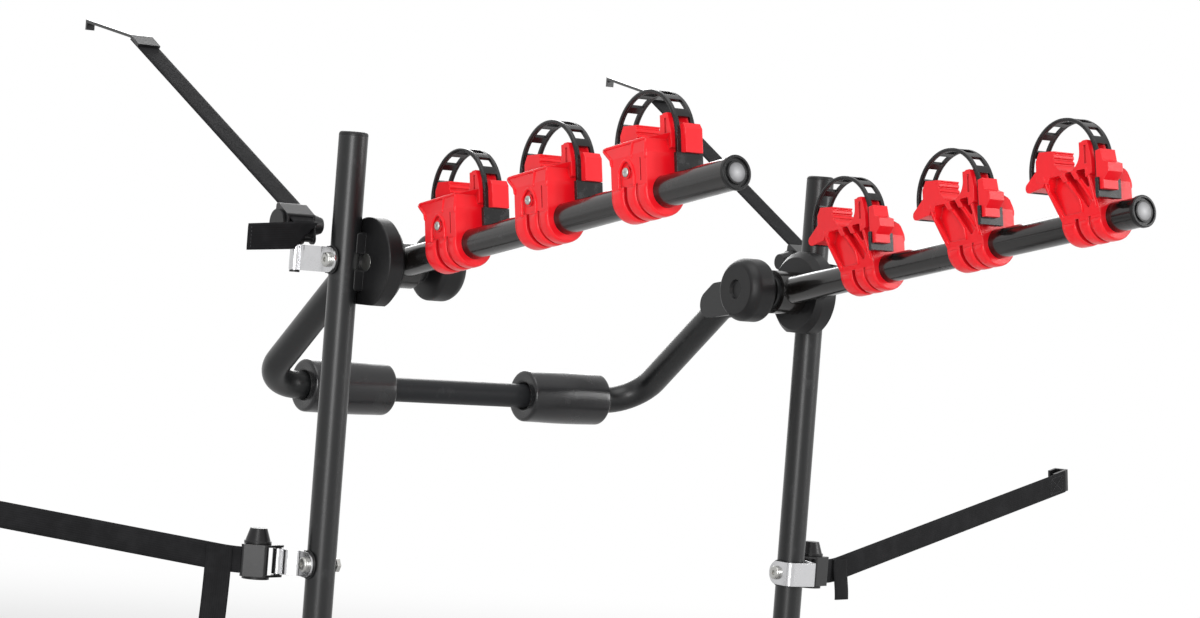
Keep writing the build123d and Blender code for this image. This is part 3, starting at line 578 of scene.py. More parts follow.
@dataclass(frozen=True)
class ShinyRubber(Finish):
    """Soft rubber of the ladder straps and linings, glossy with cloudy bloom."""

    edge: float = 0.0008
    edge_limits: Pair = (0.01, 0.16)
    bloom: Cloud = Cloud(0.012, 4, 0.6, (0.45, 0.8))
    bloom_color: Color = (0.07, 0.07, 0.072)
    bloom_share: float = 0.25
    bloom_dull: float = 0.2
    rubbed: float = 0.3
    grain: Cloud = Cloud(0.0012, 2, 0.5)
    grain_depth: Pair = (0.00004, 0.5)

    def look(self, shader: Shader) -> Sockets:
        """Dark rubber, paler in its bloom and along its edges.

        Args:
            shader: tree under work.

        Returns:
            Value or link of each socket of the surface.
        """
        bloom = shader.cloud(self.bloom)
        rims = shader.edge_share(self.edge, self.edge_limits)
        pale = bloom * self.bloom_share + rims * self.rubbed
        return {"Base Color": shader.blend(pale, self.color, self.bloom_color),
                "Roughness": self.shine + bloom * self.bloom_dull,
                "Normal": shader.bump(shader.cloud(self.grain), self.grain_depth, shader.rounded(self.edge))}


@dataclass(frozen=True)
class Webbing(Finish):
    """Woven polyester band: slanted ribs, bound edges and lighter worn threads."""

    thread: Color = (0.026, 0.026, 0.028)
    rib: float = 0.0016
    rib_slant: float = 0.9
    rib_share: float = 0.6
    rib_depth: Pair = (0.0001, 0.5)
    cord_share: float = 0.4
    cord_pitch: float = 0.75
    half_width: float = 0.0125
    binding: Pair = (0.0022, 0.0008)
    binding_low: float = 0.4
    high_share: float = 0.4
    wear: Cloud = Cloud(0.02, 3, 0.6, (0.4, 0.75))
    wear_share: float = 0.25
    fuzz: Cloud = Cloud(0.0006, 2, 0.6)
    fuzz_depth: Pair = (0.00003, 0.2)
    fuzz_dull: float = 0.15

    def look(self, shader: Shader) -> Sockets:
        """Woven ribs between two bound edges, paler on the high and worn threads.

        Args:
            shader: tree under work.

        Returns:
            Value or link of each socket of the surface.
        """
        along, over = shader.along_and_across()
        turn = 2 * math.pi / self.rib
        ribs = ((over.absolute() * self.rib_slant + along) * turn).wave() * self.rib_share
        cords = (over * (turn * self.cord_pitch)).wave() * self.cord_share
        bound = over.absolute().ramp(*(self.half_width - inset for inset in self.binding))
        height = (ribs + cords) * (1 - bound) + bound * (along * turn).wave(self.binding_low)
        fuzz = shader.cloud(self.fuzz)
        pale = height * self.high_share + shader.cloud(self.wear) * self.wear_share
        return {"Base Color": shader.blend(pale, self.color, self.thread),
                "Roughness": self.shine + fuzz * self.fuzz_dull,
                "Normal": shader.bump(fuzz, self.fuzz_depth, shader.bump(height, self.rib_depth))}


@dataclass(frozen=True)
class ArmCap(Finish):
    """Black ring round a pale silvery dome, on the flat end of an arm, with painted shade that darkens the
    dome towards its edge.
    """

    middle: Triple = (0.0, 0.0, 0.0)
    axis: Triple = (0.0, -1.0, 0.0)
    dome: Color = (0.5, 0.5, 0.51)
    dome_radius: float = 0.0083
    dome_edge: float = 0.0004
    # grey of the painted shade at the dome's edge
    rim: Color = srgb(88, 88, 90)
    # share of the painted shade across the dome
    dome_shade_share: float = 0.9
    haze: Cloud = Cloud(0.004, 3, 0.6)
    haze_share: float = 0.2
    haze_dull: float = 0.1
    grain: float = 0.0006
    grain_depth: Pair = (0.00003, 0.5)

    def look(self, shader: Shader) -> Sockets:
        """Ring and dome, with the dome's edge at a fixed distance from the arm's axis, and painted shade
        from the dome's pale middle to its darker edge.

        Args:
            shader: tree under work.

        Returns:
            Value or link of each socket of the surface.
        """
        offset = shader.vector("SUBTRACT", shader.place(), self.middle)
        turned = shader.vector("CROSS_PRODUCT", offset.outputs[0], self.axis)
        away = Level(shader, shader.vector("LENGTH", turned.outputs[0]).outputs["Value"])
        inside = 1 - away.ramp(self.dome_radius - self.dome_edge, self.dome_radius + self.dome_edge)
        # painted shade: 1 in the middle of the dome and 0 at its edge, so that the flat end is shaded like a
        # dome
        rise = 1 - away / self.dome_radius
        haze = shader.cloud(self.haze)
        shaded_silver = shader.blend(rise * self.dome_shade_share + haze * self.haze_share, self.rim, self.dome)
        grain = shader.bump(shader.cells(self.grain), self.grain_depth, shader.rounded(self.edge))
        return {"Base Color": shader.blend(inside, self.color, shaded_silver),
                "Roughness": self.shine + haze * self.haze_dull, "Normal": grain}


@dataclass
class FinishShelf:
    """All finishes of the rack, by the slot of the record that they fill."""

    arm_tip: Callable[[Side], tuple[Vector, Vector]]
    made: dict[str, Material] = field(default_factory=dict)

    def build(self) -> None:
        """Make one material for each slot, and one cap finish for each arm."""
        finishes: dict[str, Finish] = {
            "frame_paint": TubeLacquer("frame lacquer", srgb(16, 17, 18), 0.36, 0.34, coat=0.2),
            "bar_paint": TubeLacquer("bar lacquer", srgb(38, 39, 41), 0.42, 0.2, coat=0.0),
            "arm_paint": TubeLacquer("arm lacquer", srgb(20, 18, 17), 0.22, 0.3, coat=0.5,
                                     coat_shine=0.12),
            "black_plastic": MouldedPlastic("black nylon", srgb(20, 20, 21), 0.36),
            "foam": FoamSkin("foam skin", srgb(20, 20, 22), 0.25, 0.5),
            "chrome": BrightMetal("bright plate", (0.6, 0.6, 0.61), 0.16, line_share=0.08),
            "steel": BrightMetal("zinc plate", (0.5, 0.5, 0.48), 0.24, line_share=0.12),
            "lining_rubber": ShinyRubber("lining rubber", srgb(14, 14, 15), 0.5),
            "black_steel": TubeLacquer("black dip", srgb(22, 22, 23), 0.28),
            "lever_plastic": MouldedPlastic("lever nylon", srgb(22, 22, 23), 0.3),
            "webbing": Webbing("webbing", srgb(12, 12, 13), 0.62, 0.1),
            # red nylon: its pink scuff colour also paints a highlight along the edges, and its recesses get
            # deeper painted shade
            "red_plastic": MouldedPlastic("red nylon", srgb(248, 20, 34), 0.26, scuff=srgb(255, 96, 100),
                                          grain_depth=(0.000015, 0.6), scratch_share=0.1, rubbed=0.4,
                                          coat=0.15, hollow=0.009, painted_shade_dark=0.45),
            "ladder_rubber": ShinyRubber("ladder rubber", srgb(15, 15, 16), 0.22, 0.35),
        }
        for slot, finish in finishes.items():
            self.made[slot] = finish.paint()
        for side in Side:
            middle, axis = self.arm_tip(side)
            cap = ArmCap(f"{side.word} arm cap", srgb(14, 14, 15), 0.28, middle=tuple(middle),
                         axis=tuple(axis))
            self.made[f"{side.word}_arm_cap"] = cap.paint()
        self.made["thread"] = ShinyRubber("sewing thread", srgb(58, 58, 60), 0.6).paint()
        log.info("finishes: %d", len(self.made))

    def dress_solids(self) -> None:
        """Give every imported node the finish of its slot."""
        for row in frame["record"]["subparts"]:
            node = frame["nodes"][row["node"]]
            made = self.made.get(row["node"], self.made[row["material_slot"]])
            if not node.data.materials:
                node.data.materials.append(made)
            for number in range(len(node.data.materials)):
                node.data.materials[number] = made
        log.info("dressed %d solids", len(frame["nodes"]))


def add_object(name: str, data: bpy.types.ID) -> Object:
    """Put a mesh, a lamp or a camera into the scene.

    Args:
        name: object's name.
        data: what it shows.

    Returns:
        The new object.
    """
    made = bpy.data.objects.new(name, data)
    bpy.context.scene.collection.objects.link(made)
    return made


def add_mesh(name: str, mesh: Mesh, material: Material) -> Object:
    """Turn a mesh under work into an object of the scene.

    Args:
        name: object's name.
        mesh: mesh under work, which is freed.
        material: its finish.

    Returns:
        The new object.
    """
    data = bpy.data.meshes.new(name)
    mesh.to_mesh(data)
    mesh.free()
    data.materials.append(material)
    return add_object(name, data)


def turn_outward(mesh: Mesh) -> None:
    """Turn the faces of every closed shell outward, where the sign of its volume says they aren't.

    Args:
        mesh: mesh under work.
    """
    bmesh.ops.recalc_face_normals(mesh, faces=mesh.faces)
    seen: set[Face] = set()
    inward: list[Face] = []
    for seed in mesh.faces:
        if seed in seen:
            continue
        seen.add(seed)
        shell = [seed]
        for face in shell:
            near = [other for edge in face.edges for other in edge.link_faces if other not in seen]
            seen.update(near)
            shell.extend(dict.fromkeys(near))
        volume = 0.0
        origin = seed.verts[0].co
        for face in shell:
            first, *rest = (vert.co - origin for vert in face.verts)
            volume += sum(first.dot(second.cross(third)) for second, third in zip(rest, rest[1:]))
        if volume < 0:
            inward += shell
    bmesh.ops.reverse_faces(mesh, faces=inward)


def publish(name: str, mesh: Mesh, material: Material, body: str) -> Object:
    """Turn a mesh under work into a smooth piece that rides on a body.

    Args:
        name: piece's name.
        mesh: mesh under work, which is freed.
        material: its finish.
        body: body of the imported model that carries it.

    Returns:
        The new piece.
    """
    turn_outward(mesh)
    for face in mesh.faces:
        face.smooth = True
    piece = add_mesh(name, mesh, material)
    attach(piece, body)
    return piece


def heading(path: list[Vector], number: int) -> Vector:
    """Direction of a path at one of its points."""
    return (path[min(number + 1, len(path) - 1)] - path[max(number - 1, 0)]).normalized()


def smooth_path(points: list[Vector], bend: float, step: float = 0.004, arc_parts: int = 8) -> list[Vector]:
    """Round the corners of a path and divide it evenly.

    Args:
        points: corner points.
        bend: distance from a corner at which its arc starts.
        step: greatest distance between two points.
        arc_parts: number of parts of an arc.

    Returns:
        The points of the rounded path.
    """
    rounded = [points[0]]
    for before, corner, after in zip(points, points[1:], points[2:]):
        reach = min(bend, (corner - before).length * CORNER_SHARE, (after - corner).length * CORNER_SHARE)
        start = corner + (before - corner).normalized() * reach
        end = corner + (after - corner).normalized() * reach
        for part in range(arc_parts + 1):
            share = part / arc_parts
            rounded.append(start * (1 - share) ** 2 + corner * 2 * share * (1 - share) + end * share ** 2)
    rounded.append(points[-1])
    path = [rounded[0]]
    for point in rounded[1:]:
        gap = (point - path[-1]).length
        pieces = max(1, math.ceil(gap / step))
        start = path[-1]
        path.extend(start.lerp(point, part / pieces) for part in range(1, pieces + 1))
    return path


def skin(mesh: Mesh, rings: list[list[Vert]], closed: bool = False) -> list[Face]:
    """Join rings of points by rows of faces.

    Args:
        mesh: mesh under work.
        rings: rings with the same number of points.
        closed: whether the last ring joins the first. Otherwise both ends are capped.

    Returns:
        The faces between the rings, without the caps.
    """
    faces = []
    for first, second in zip(rings, rings[1:] + rings[:1] if closed else rings[1:]):
        for corner in range(len(first)):
            after = (corner + 1) % len(first)
            faces.append(mesh.faces.new((first[corner], first[after], second[after], second[corner])))
    if not closed:
        mesh.faces.new(list(reversed(rings[0])))
        mesh.faces.new(rings[-1])
    return faces


def lay_rod(mesh: Mesh, path: list[Vector], radii: list[float], side: Vector, corners: int) -> None:
    """Add a closed round rod that follows a path.

    Args:
        mesh: mesh under work.
        path: points of its middle line.
        radii: radius at each point.
        side: rough way to the first corner of its sections.
        corners: number of corners of a section.
    """
    rings = []
    for number, (point, radius) in enumerate(zip(path, radii)):
        ahead = heading(path, number)
        side = (side - ahead * side.dot(ahead)).normalized()
        up = ahead.cross(side)
        turns = (2 * math.pi * corner / corners for corner in range(corners))
        rings.append([mesh.verts.new(point + (side * math.cos(turn) + up * math.sin(turn)) * radius)
                      for turn in turns])
    skin(mesh, rings)


@dataclass
class Arms:
    """Where the carrying arms lie, for the pieces and finishes that sit on them."""

    x: float = 0.231
    hub: Pair = (-0.016, 0.5)
    length: float = 0.527
    rise: float = 11.0
    ends: dict[Side, Pair] = field(
        default_factory=lambda: {Side.LEFT: (0.106, 0.405), Side.RIGHT: (0.145, 0.469)})

    @property
    def way(self) -> Vector:
        """Direction of both arms, from the hub to the tip."""
        angle = math.radians(self.rise)
        return Vector((0, -math.cos(angle), math.sin(angle)))

    def root(self, side: Side) -> Vector:
        """Point of an arm's axis on the hub's pivot."""
        return Vector((side.value * self.x, self.hub[0], self.hub[1]))

    def tip(self, side: Side) -> tuple[Vector, Vector]:
        """Middle of an arm's end and the arm's direction."""
        return self.root(side) + self.way * self.length, self.way

    def reaches(self, side: Side) -> list[float]:
        """Distances of an arm's three cradles from the hub."""
        first, last = self.ends[side]
        return [first, (first + last) / 2, last]

    def at(self, side: Side, along: float, height: float, inboard: float) -> Vector:
        """Point by its distance along an arm, square to it and towards the middle of the rack."""
        rise = Vector((0, self.way.z, -self.way.y))
        return self.root(side) + self.way * along + rise * height - Vector((side.value * inboard, 0, 0))


@dataclass
class CradleScrews:
    """Domed screw heads with a cross recess, one in the outboard face of every cradle."""

    shelf: FinishShelf
    arms: Arms
    along: float = -0.004
    height: float = 0.020
    face: float = 0.02005
    radius: float = 0.0042
    dome: float = 0.0022
    rim: float = 0.0008
    recess: float = 0.0011
    slot_half: float = 0.0005
    slot_end: float = 0.0022
    fullness: float = 2.4
    first_turn: float = 20.0
    next_turn: float = 33.0
    steps: tuple[float, ...] = (0.0005, 0.0012, 0.0022, 0.0028, 0.0034, 0.0039, 0.0042)

    def build(self) -> None:
        """Build the heads of both arms."""
        for side in Side:
            mesh = bmesh.new()
            way = self.arms.way
            rise = Vector((0, way.z, -way.y))
            for number, reach in enumerate(self.arms.reaches(side)):
                middle = self.arms.at(side, reach + self.along, self.height, -self.face)
                turn = math.radians(self.first_turn + self.next_turn * number)
                across = way * math.cos(turn) + rise * math.sin(turn)
                self.add_head(mesh, middle, Vector((side.value, 0, 0)), across)
            name = f"{side.word}_screw_heads"
            piece = publish(name, mesh, self.shelf.made["steel"], f"{side.word}_arm")
            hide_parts(f"{side.word}_cradle_screws")
            log.info("screws %s", name)

    def add_head(self, whole: Mesh, middle: Vector, out: Vector, across: Vector) -> None:
        """Add one head.

        Args:
            whole: mesh under work that takes it.
            middle: middle of its underside.
            out: way out of the cradle.
            across: direction of one arm of its cross.
        """
        along = out.cross(across).normalized()
        marks = [-step for step in reversed(self.steps)] + list(self.steps)
        grid = []
        for x in marks:
            row = []
            for y in marks:
                reach = max(abs(x), abs(y))
                round_share = max(0.0, (reach - self.slot_end) / (self.radius - self.slot_end))
                shrink = 1 + round_share * (reach / math.hypot(x, y) - 1)
                far = math.hypot(x, y) * shrink / self.radius
                bulge = math.sqrt(max(0.0, 1 - far ** self.fullness))
                lift = self.rim + (self.dome - self.rim) * bulge
                row.append(whole.verts.new(middle + across * x * shrink + along * y * shrink + out * lift))
            grid.append(row)
        sunk = []
        for i in range(len(marks) - 1):
            for j in range(len(marks) - 1):
                face = whole.faces.new((grid[i][j], grid[i + 1][j], grid[i + 1][j + 1], grid[i][j + 1]))
                x, y = (marks[i] + marks[i + 1]) / 2, (marks[j] + marks[j + 1]) / 2
                if min(abs(x), abs(y)) < self.slot_half and max(abs(x), abs(y)) < self.slot_end:
                    sunk.append(face)
        low = bmesh.ops.extrude_face_region(whole, geom=sunk)
        for vert in (part for part in low["geom"] if isinstance(part, Vert)):
            vert.co -= out * self.recess
        bmesh.ops.delete(whole, geom=sunk, context="FACES_ONLY")
        last = len(marks) - 1
        edge = ([grid[i][0] for i in range(last)] + [grid[last][j] for j in range(last)]
                + [grid[last - i][last] for i in range(last)] + [grid[0][last - j] for j in range(last)])
        base = [whole.verts.new(vert.co - out * (vert.co - middle).dot(out)) for vert in edge]
        for number in range(len(edge)):
            after = (number + 1) % len(edge)
            whole.faces.new((edge[number], edge[after], base[after], base[number]))
        whole.faces.new(base)


@dataclass
class Station:
    """Place along a band: its middle, the way across it and how far it reaches to both sides."""

    middle: Vector
    over: Vector
    reach: float


@dataclass
class Band:
    """Flat woven band of a given thickness that follows its stations."""

    thickness: float = 0.002
    columns: int = 12
    edge_share: float = 0.35
    edge_swell: float = 8.0

    def stations(self, path: list[Vector], over: Vector, half: float) -> list[Station]:
        """Spread stations of one width along a path.

        Args:
            path: points of the middle line.
            over: rough way across the band.
            half: half of its width.

        Returns:
            One station for each point.
        """
        made = []
        for number, point in enumerate(path):
            run = heading(path, number)
            square = (over - run * over.dot(run)).normalized()
            made.append(Station(point, square, half))
        return made

    def lay(self, mesh: Mesh, stations: list[Station]) -> None:
        """Add the band to a mesh, with rounded edges and a map in metres.

        Args:
            mesh: mesh under work.
            stations: stations in order.
        """
        uv = mesh.loops.layers.uv.get("band") or mesh.loops.layers.uv.new("band")
        path = [station.middle for station in stations]
        spots: dict[Vert, Pair] = {}
        rings = []
        travelled = 0.0
        for number, station in enumerate(stations):
            travelled += (path[number] - path[max(number - 1, 0)]).length
            up = station.over.cross(heading(path, number)).normalized()
            ring = []
            for face in (1, -1):
                for column in range(self.columns + 1):
                    share = column / self.columns if face == 1 else 1 - column / self.columns
                    place = station.reach * (2 * share - 1)
                    swell = min(1.0, self.edge_swell * min(share, 1 - share)) ** 0.5
                    height = face * self.thickness / 2 * (self.edge_share + (1 - self.edge_share) * swell)
                    vert = mesh.verts.new(station.middle + station.over * place + up * height)
                    spots[vert] = (travelled, place)
                    ring.append(vert)
            rings.append(ring)
        for face in skin(mesh, rings):
            for loop in face.loops:
                loop[uv].uv = spots[loop.vert]


@dataclass
class Bead:
    """Round bead that follows a line of points, with tapered ends."""

    radius: float
    sides: int = 10
    taper: tuple[float, ...] = (0.45, 0.85, 1.0)

    def lay(self, mesh: Mesh, path: list[Vector]) -> None:
        """Add the bead to a mesh.

        Args:
            mesh: mesh under work.
            path: points of its middle line.
        """
        last = len(path) - 1
        radii = [self.radius * self.taper[min(number, last - number, len(self.taper) - 1)]
                 for number in range(len(path))]
        side = (path[1] - path[0]).normalized().orthogonal().normalized()
        lay_rod(mesh, path, radii, side, self.sides)


@dataclass
class CradleRelief:
    """Moulded ribs of the red cradles and rounded rails of their ladder straps."""

    shelf: FinishShelf
    arms: Arms
    band_radius: float = 0.020
    band_sink: float = 0.0004
    band_root: float = 0.0006
    straight_top: float = 0.034
    shoulder: float = 0.046
    lean: float = 0.003
    inner_low: float = 0.002
    inner_edge: float = 0.0305
    crown: float = 0.0016
    crown_top: float = 0.007
    crown_steps: int = 4
    crown_turns: int = 24
    crown_columns: int = 8
    crown_start: float = 0.2
    crown_growth: float = 0.4
    crown_power: int = 4
    rib: float = 0.0014
    rib_bend: float = 0.008
    rib_step: float = 0.0015
    strips: tuple[Pair, ...] = ((-0.0258, -0.0084), (-0.0036, 0.0094), (0.0126, 0.0258))
    outer_lines: tuple[tuple[Pair, ...], ...] = (
        ((-15, 6), (-15.5, 22), (-4, 33), (7.5, 22), (7, 6)),
        ((4.5, 31), (3, 45.6)),
        ((-25, 28), (-25.5, 34), (-40.5, 45.2)),
        ((25, 28), (25, 34), (22.3, 45.2)),
        ((-40, 45.9), (22, 45.9)),
    )
    inner_lines: tuple[tuple[Pair, ...], ...] = (
        ((-22, 5), (-35, 31), (-36, 45)),
        ((3.5, 6), (4, 19), (-12.5, 44.5)),
        ((21, 13), (3, 44.6)),
        ((22.8, 8), (21.6, 44.6)),
    )
    rail_inset: float = 0.018
    rail_half: float = 0.0086
    rail: float = 0.0018
    rail_steps: int = 40
    ladder_hinge: Pair = (-0.057, 0.047)
    ladder_radius: float = 0.0445
    ladder_middle: float = 0.050
    ladder_low: float = 0.034

    def build(self) -> None:
        """Build the relief of all six cradles and straps."""
        for side in Side:
            for number, reach in enumerate(self.arms.reaches(side), start=1):
                self.build_ribs(side, number, reach)
                self.build_rails(side, number, reach)

    def build_ribs(self, side: Side, number: int, reach: float) -> None:
        """Build the ribs and crowned bands of one cradle.

        Args:
            side: arm of the cradle.
            number: its number from the hub.
            reach: its distance along the arm.
        """
        mesh = bmesh.new()
        for low, high in self.strips:
            self.add_crown(mesh, side, reach, low, high)
        bead = Bead(self.rib)
        for line in self.outer_lines:
            bead.lay(mesh, self.line_on(side, reach, line, self.outer_face))
        for line in self.inner_lines:
            bead.lay(mesh, self.line_on(side, reach, line, self.inner_face))
        name = f"{side.word}_cradle_{number}_ribs"
        publish(name, mesh, self.shelf.made["red_plastic"], f"{side.word}_arm")
        log.info("relief %s", name)

    def outer_face(self, height: float) -> float:
        """Inboard distance of the outboard face at a height, both in metres."""
        share = max(0.0, (height - self.straight_top) / (self.shoulder - self.straight_top))
        return -self.band_radius + self.lean * share

    def inner_face(self, height: float) -> float:
        """Inboard distance of the inboard face at a height, both in metres."""
        share = (height - self.inner_low) / (self.shoulder - self.inner_low)
        return self.band_radius + (self.inner_edge - self.band_radius) * share

    def line_on(self, side: Side, reach: float, line: tuple[Pair, ...],
                face: Callable[[float], float]) -> list[Vector]:
        """Turn a drawn line into a rounded path on a face of the cradle.

        Args:
            side: arm of the cradle.
            reach: its distance along the arm.
            line: points along the arm and square to it, in millimetres.
            face: inboard distance of the face at a height.

        Returns:
            Points of the path.
        """
        corners = [self.arms.at(side, reach + u / MM_PER_METRE, w / MM_PER_METRE, face(w / MM_PER_METRE))
                   for u, w in line]
        return smooth_path(corners, self.rib_bend, self.rib_step)

    def add_crown(self, mesh: Mesh, side: Side, reach: float, low: float, high: float) -> None:
        """Add one rounded band round the arm's underside.

        Args:
            mesh: mesh under work.
            side: arm of the cradle.
            reach: its distance along the arm.
            low: start of the band along the arm.
            high: its end.
        """
        spine = [(-1.0, 0.0, self.crown_top * (1 - part / self.crown_steps))
                 for part in range(self.crown_steps)]
        turns = [math.pi * part / self.crown_turns for part in range(self.crown_turns + 1)]
        spine += [(-math.cos(turn), -math.sin(turn), 0.0) for turn in turns]
        shares = [column / self.crown_columns for column in range(self.crown_columns + 1)]
        rings = []
        for number, (inboard, down, height) in enumerate(spine):
            end = min(number, len(spine) - 1 - number)
            swell = self.crown * min(1.0, self.crown_start + end * self.crown_growth)
            outs = [(share, self.band_radius - self.band_sink
                     + swell * (1 - (2 * share - 1) ** self.crown_power) ** 0.5) for share in shares]
            outs += [(share, self.band_radius - self.band_root) for share in (1.0, 0.0)]
            rings.append([mesh.verts.new(self.arms.at(side, reach + low + (high - low) * share,
                                                      down * out + height, inboard * out))
                          for share, out in outs])
        skin(mesh, rings)

    def build_rails(self, side: Side, number: int, reach: float) -> None:
        """Build the two thick edges of one ladder strap.

        Args:
            side: arm of the strap.
            number: its number from the hub.
            reach: distance of its cradle along the arm.
        """
        mesh = bmesh.new()
        start, low = self.ladder_hinge
        middle = start + self.ladder_radius
        line = [(start, low), (start, self.ladder_middle)]
        turns = [math.pi * part / self.rail_steps for part in range(1, self.rail_steps + 1)]
        line += [(middle - self.ladder_radius * math.cos(turn),
                  self.ladder_middle + self.ladder_radius * math.sin(turn)) for turn in turns]
        line.append((start + 2 * self.ladder_radius, self.ladder_low))
        for edge in (-1, 1):
            inset = self.rail_inset + edge * self.rail_half
            Bead(self.rail).lay(mesh, [self.arms.at(side, reach + u, w, inset) for u, w in line])
        name = f"{side.word}_ladder_{number}_rails"
        publish(name, mesh, self.shelf.made["ladder_rubber"], f"{side.word}_ladder_{number}")
        log.info("rails %s", name)


@dataclass
class Stitching:
    """Rows of raised stitches on a band."""

    length: float = 0.0022
    gap: float = 0.0009
    radius: float = 0.00035
    corners: int = 6
    arch: tuple[Pair, ...] = ((-0.5, 0.25), (-0.3, 0.9), (0.0, 1.0), (0.3, 0.9), (0.5, 0.25))

    def row(self, mesh: Mesh, start: Vector, end: Vector, up: Vector) -> None:
        """Add one straight row of stitches.

        Args:
            mesh: mesh under work that takes them.
            start: where the row starts.
            end: where it ends.
            up: way out of the band.
        """
        run = end - start
        count = max(1, int(run.length / (self.length + self.gap)))
        way = run.normalized()
        side = up.cross(way).normalized()
        for number in range(count):
            middle = start + way * ((number + 0.5) * run.length / count)
            path = [middle + way * share * self.length for share, _ in self.arch]
            lay_rod(mesh, path, [self.radius * width for _, width in self.arch], side, self.corners)

    def box(self, mesh: Mesh, middle: Vector, way: Vector, side: Vector, up: Vector,
            long: float, wide: float) -> None:
        """Add a sewn box with a cross in it.

        Args:
            mesh: mesh under work.
            middle: middle of the box on the band's surface.
            way: direction along the band.
            side: direction across it.
            up: way out of it.
            long: its length.
            wide: its width.
        """
        corners = [middle + way * a * long / 2 + side * b * wide / 2
                   for a, b in ((-1, -1), (1, -1), (1, 1), (-1, 1))]
        for first, second in zip(corners, corners[1:] + corners[:1]):
            self.row(mesh, first, second, up)
        self.row(mesh, corners[0], corners[2], up)
        self.row(mesh, corners[1], corners[3], up)


@dataclass
class BuckleSeat:
    """Frame of a cam buckle: along the strap, out of it and across it, from the drum's axis."""

    bar: Vector
    run: Vector
    over: Vector
    bar_along: float = -0.0195
    bar_out: float = -0.005
    web_out: float = 0.0125

    def __post_init__(self) -> None:
        """Work out the way out of the strap and the drum's place."""
        self.run = self.run.normalized()
        self.out = self.over.cross(self.run).normalized()
        self.middle = self.bar - self.run * self.bar_along - self.out * self.bar_out

    def at(self, along: float, out: float) -> Vector:
        """Point at a distance along the strap and out of it."""
        return self.middle + self.run * along + self.out * out


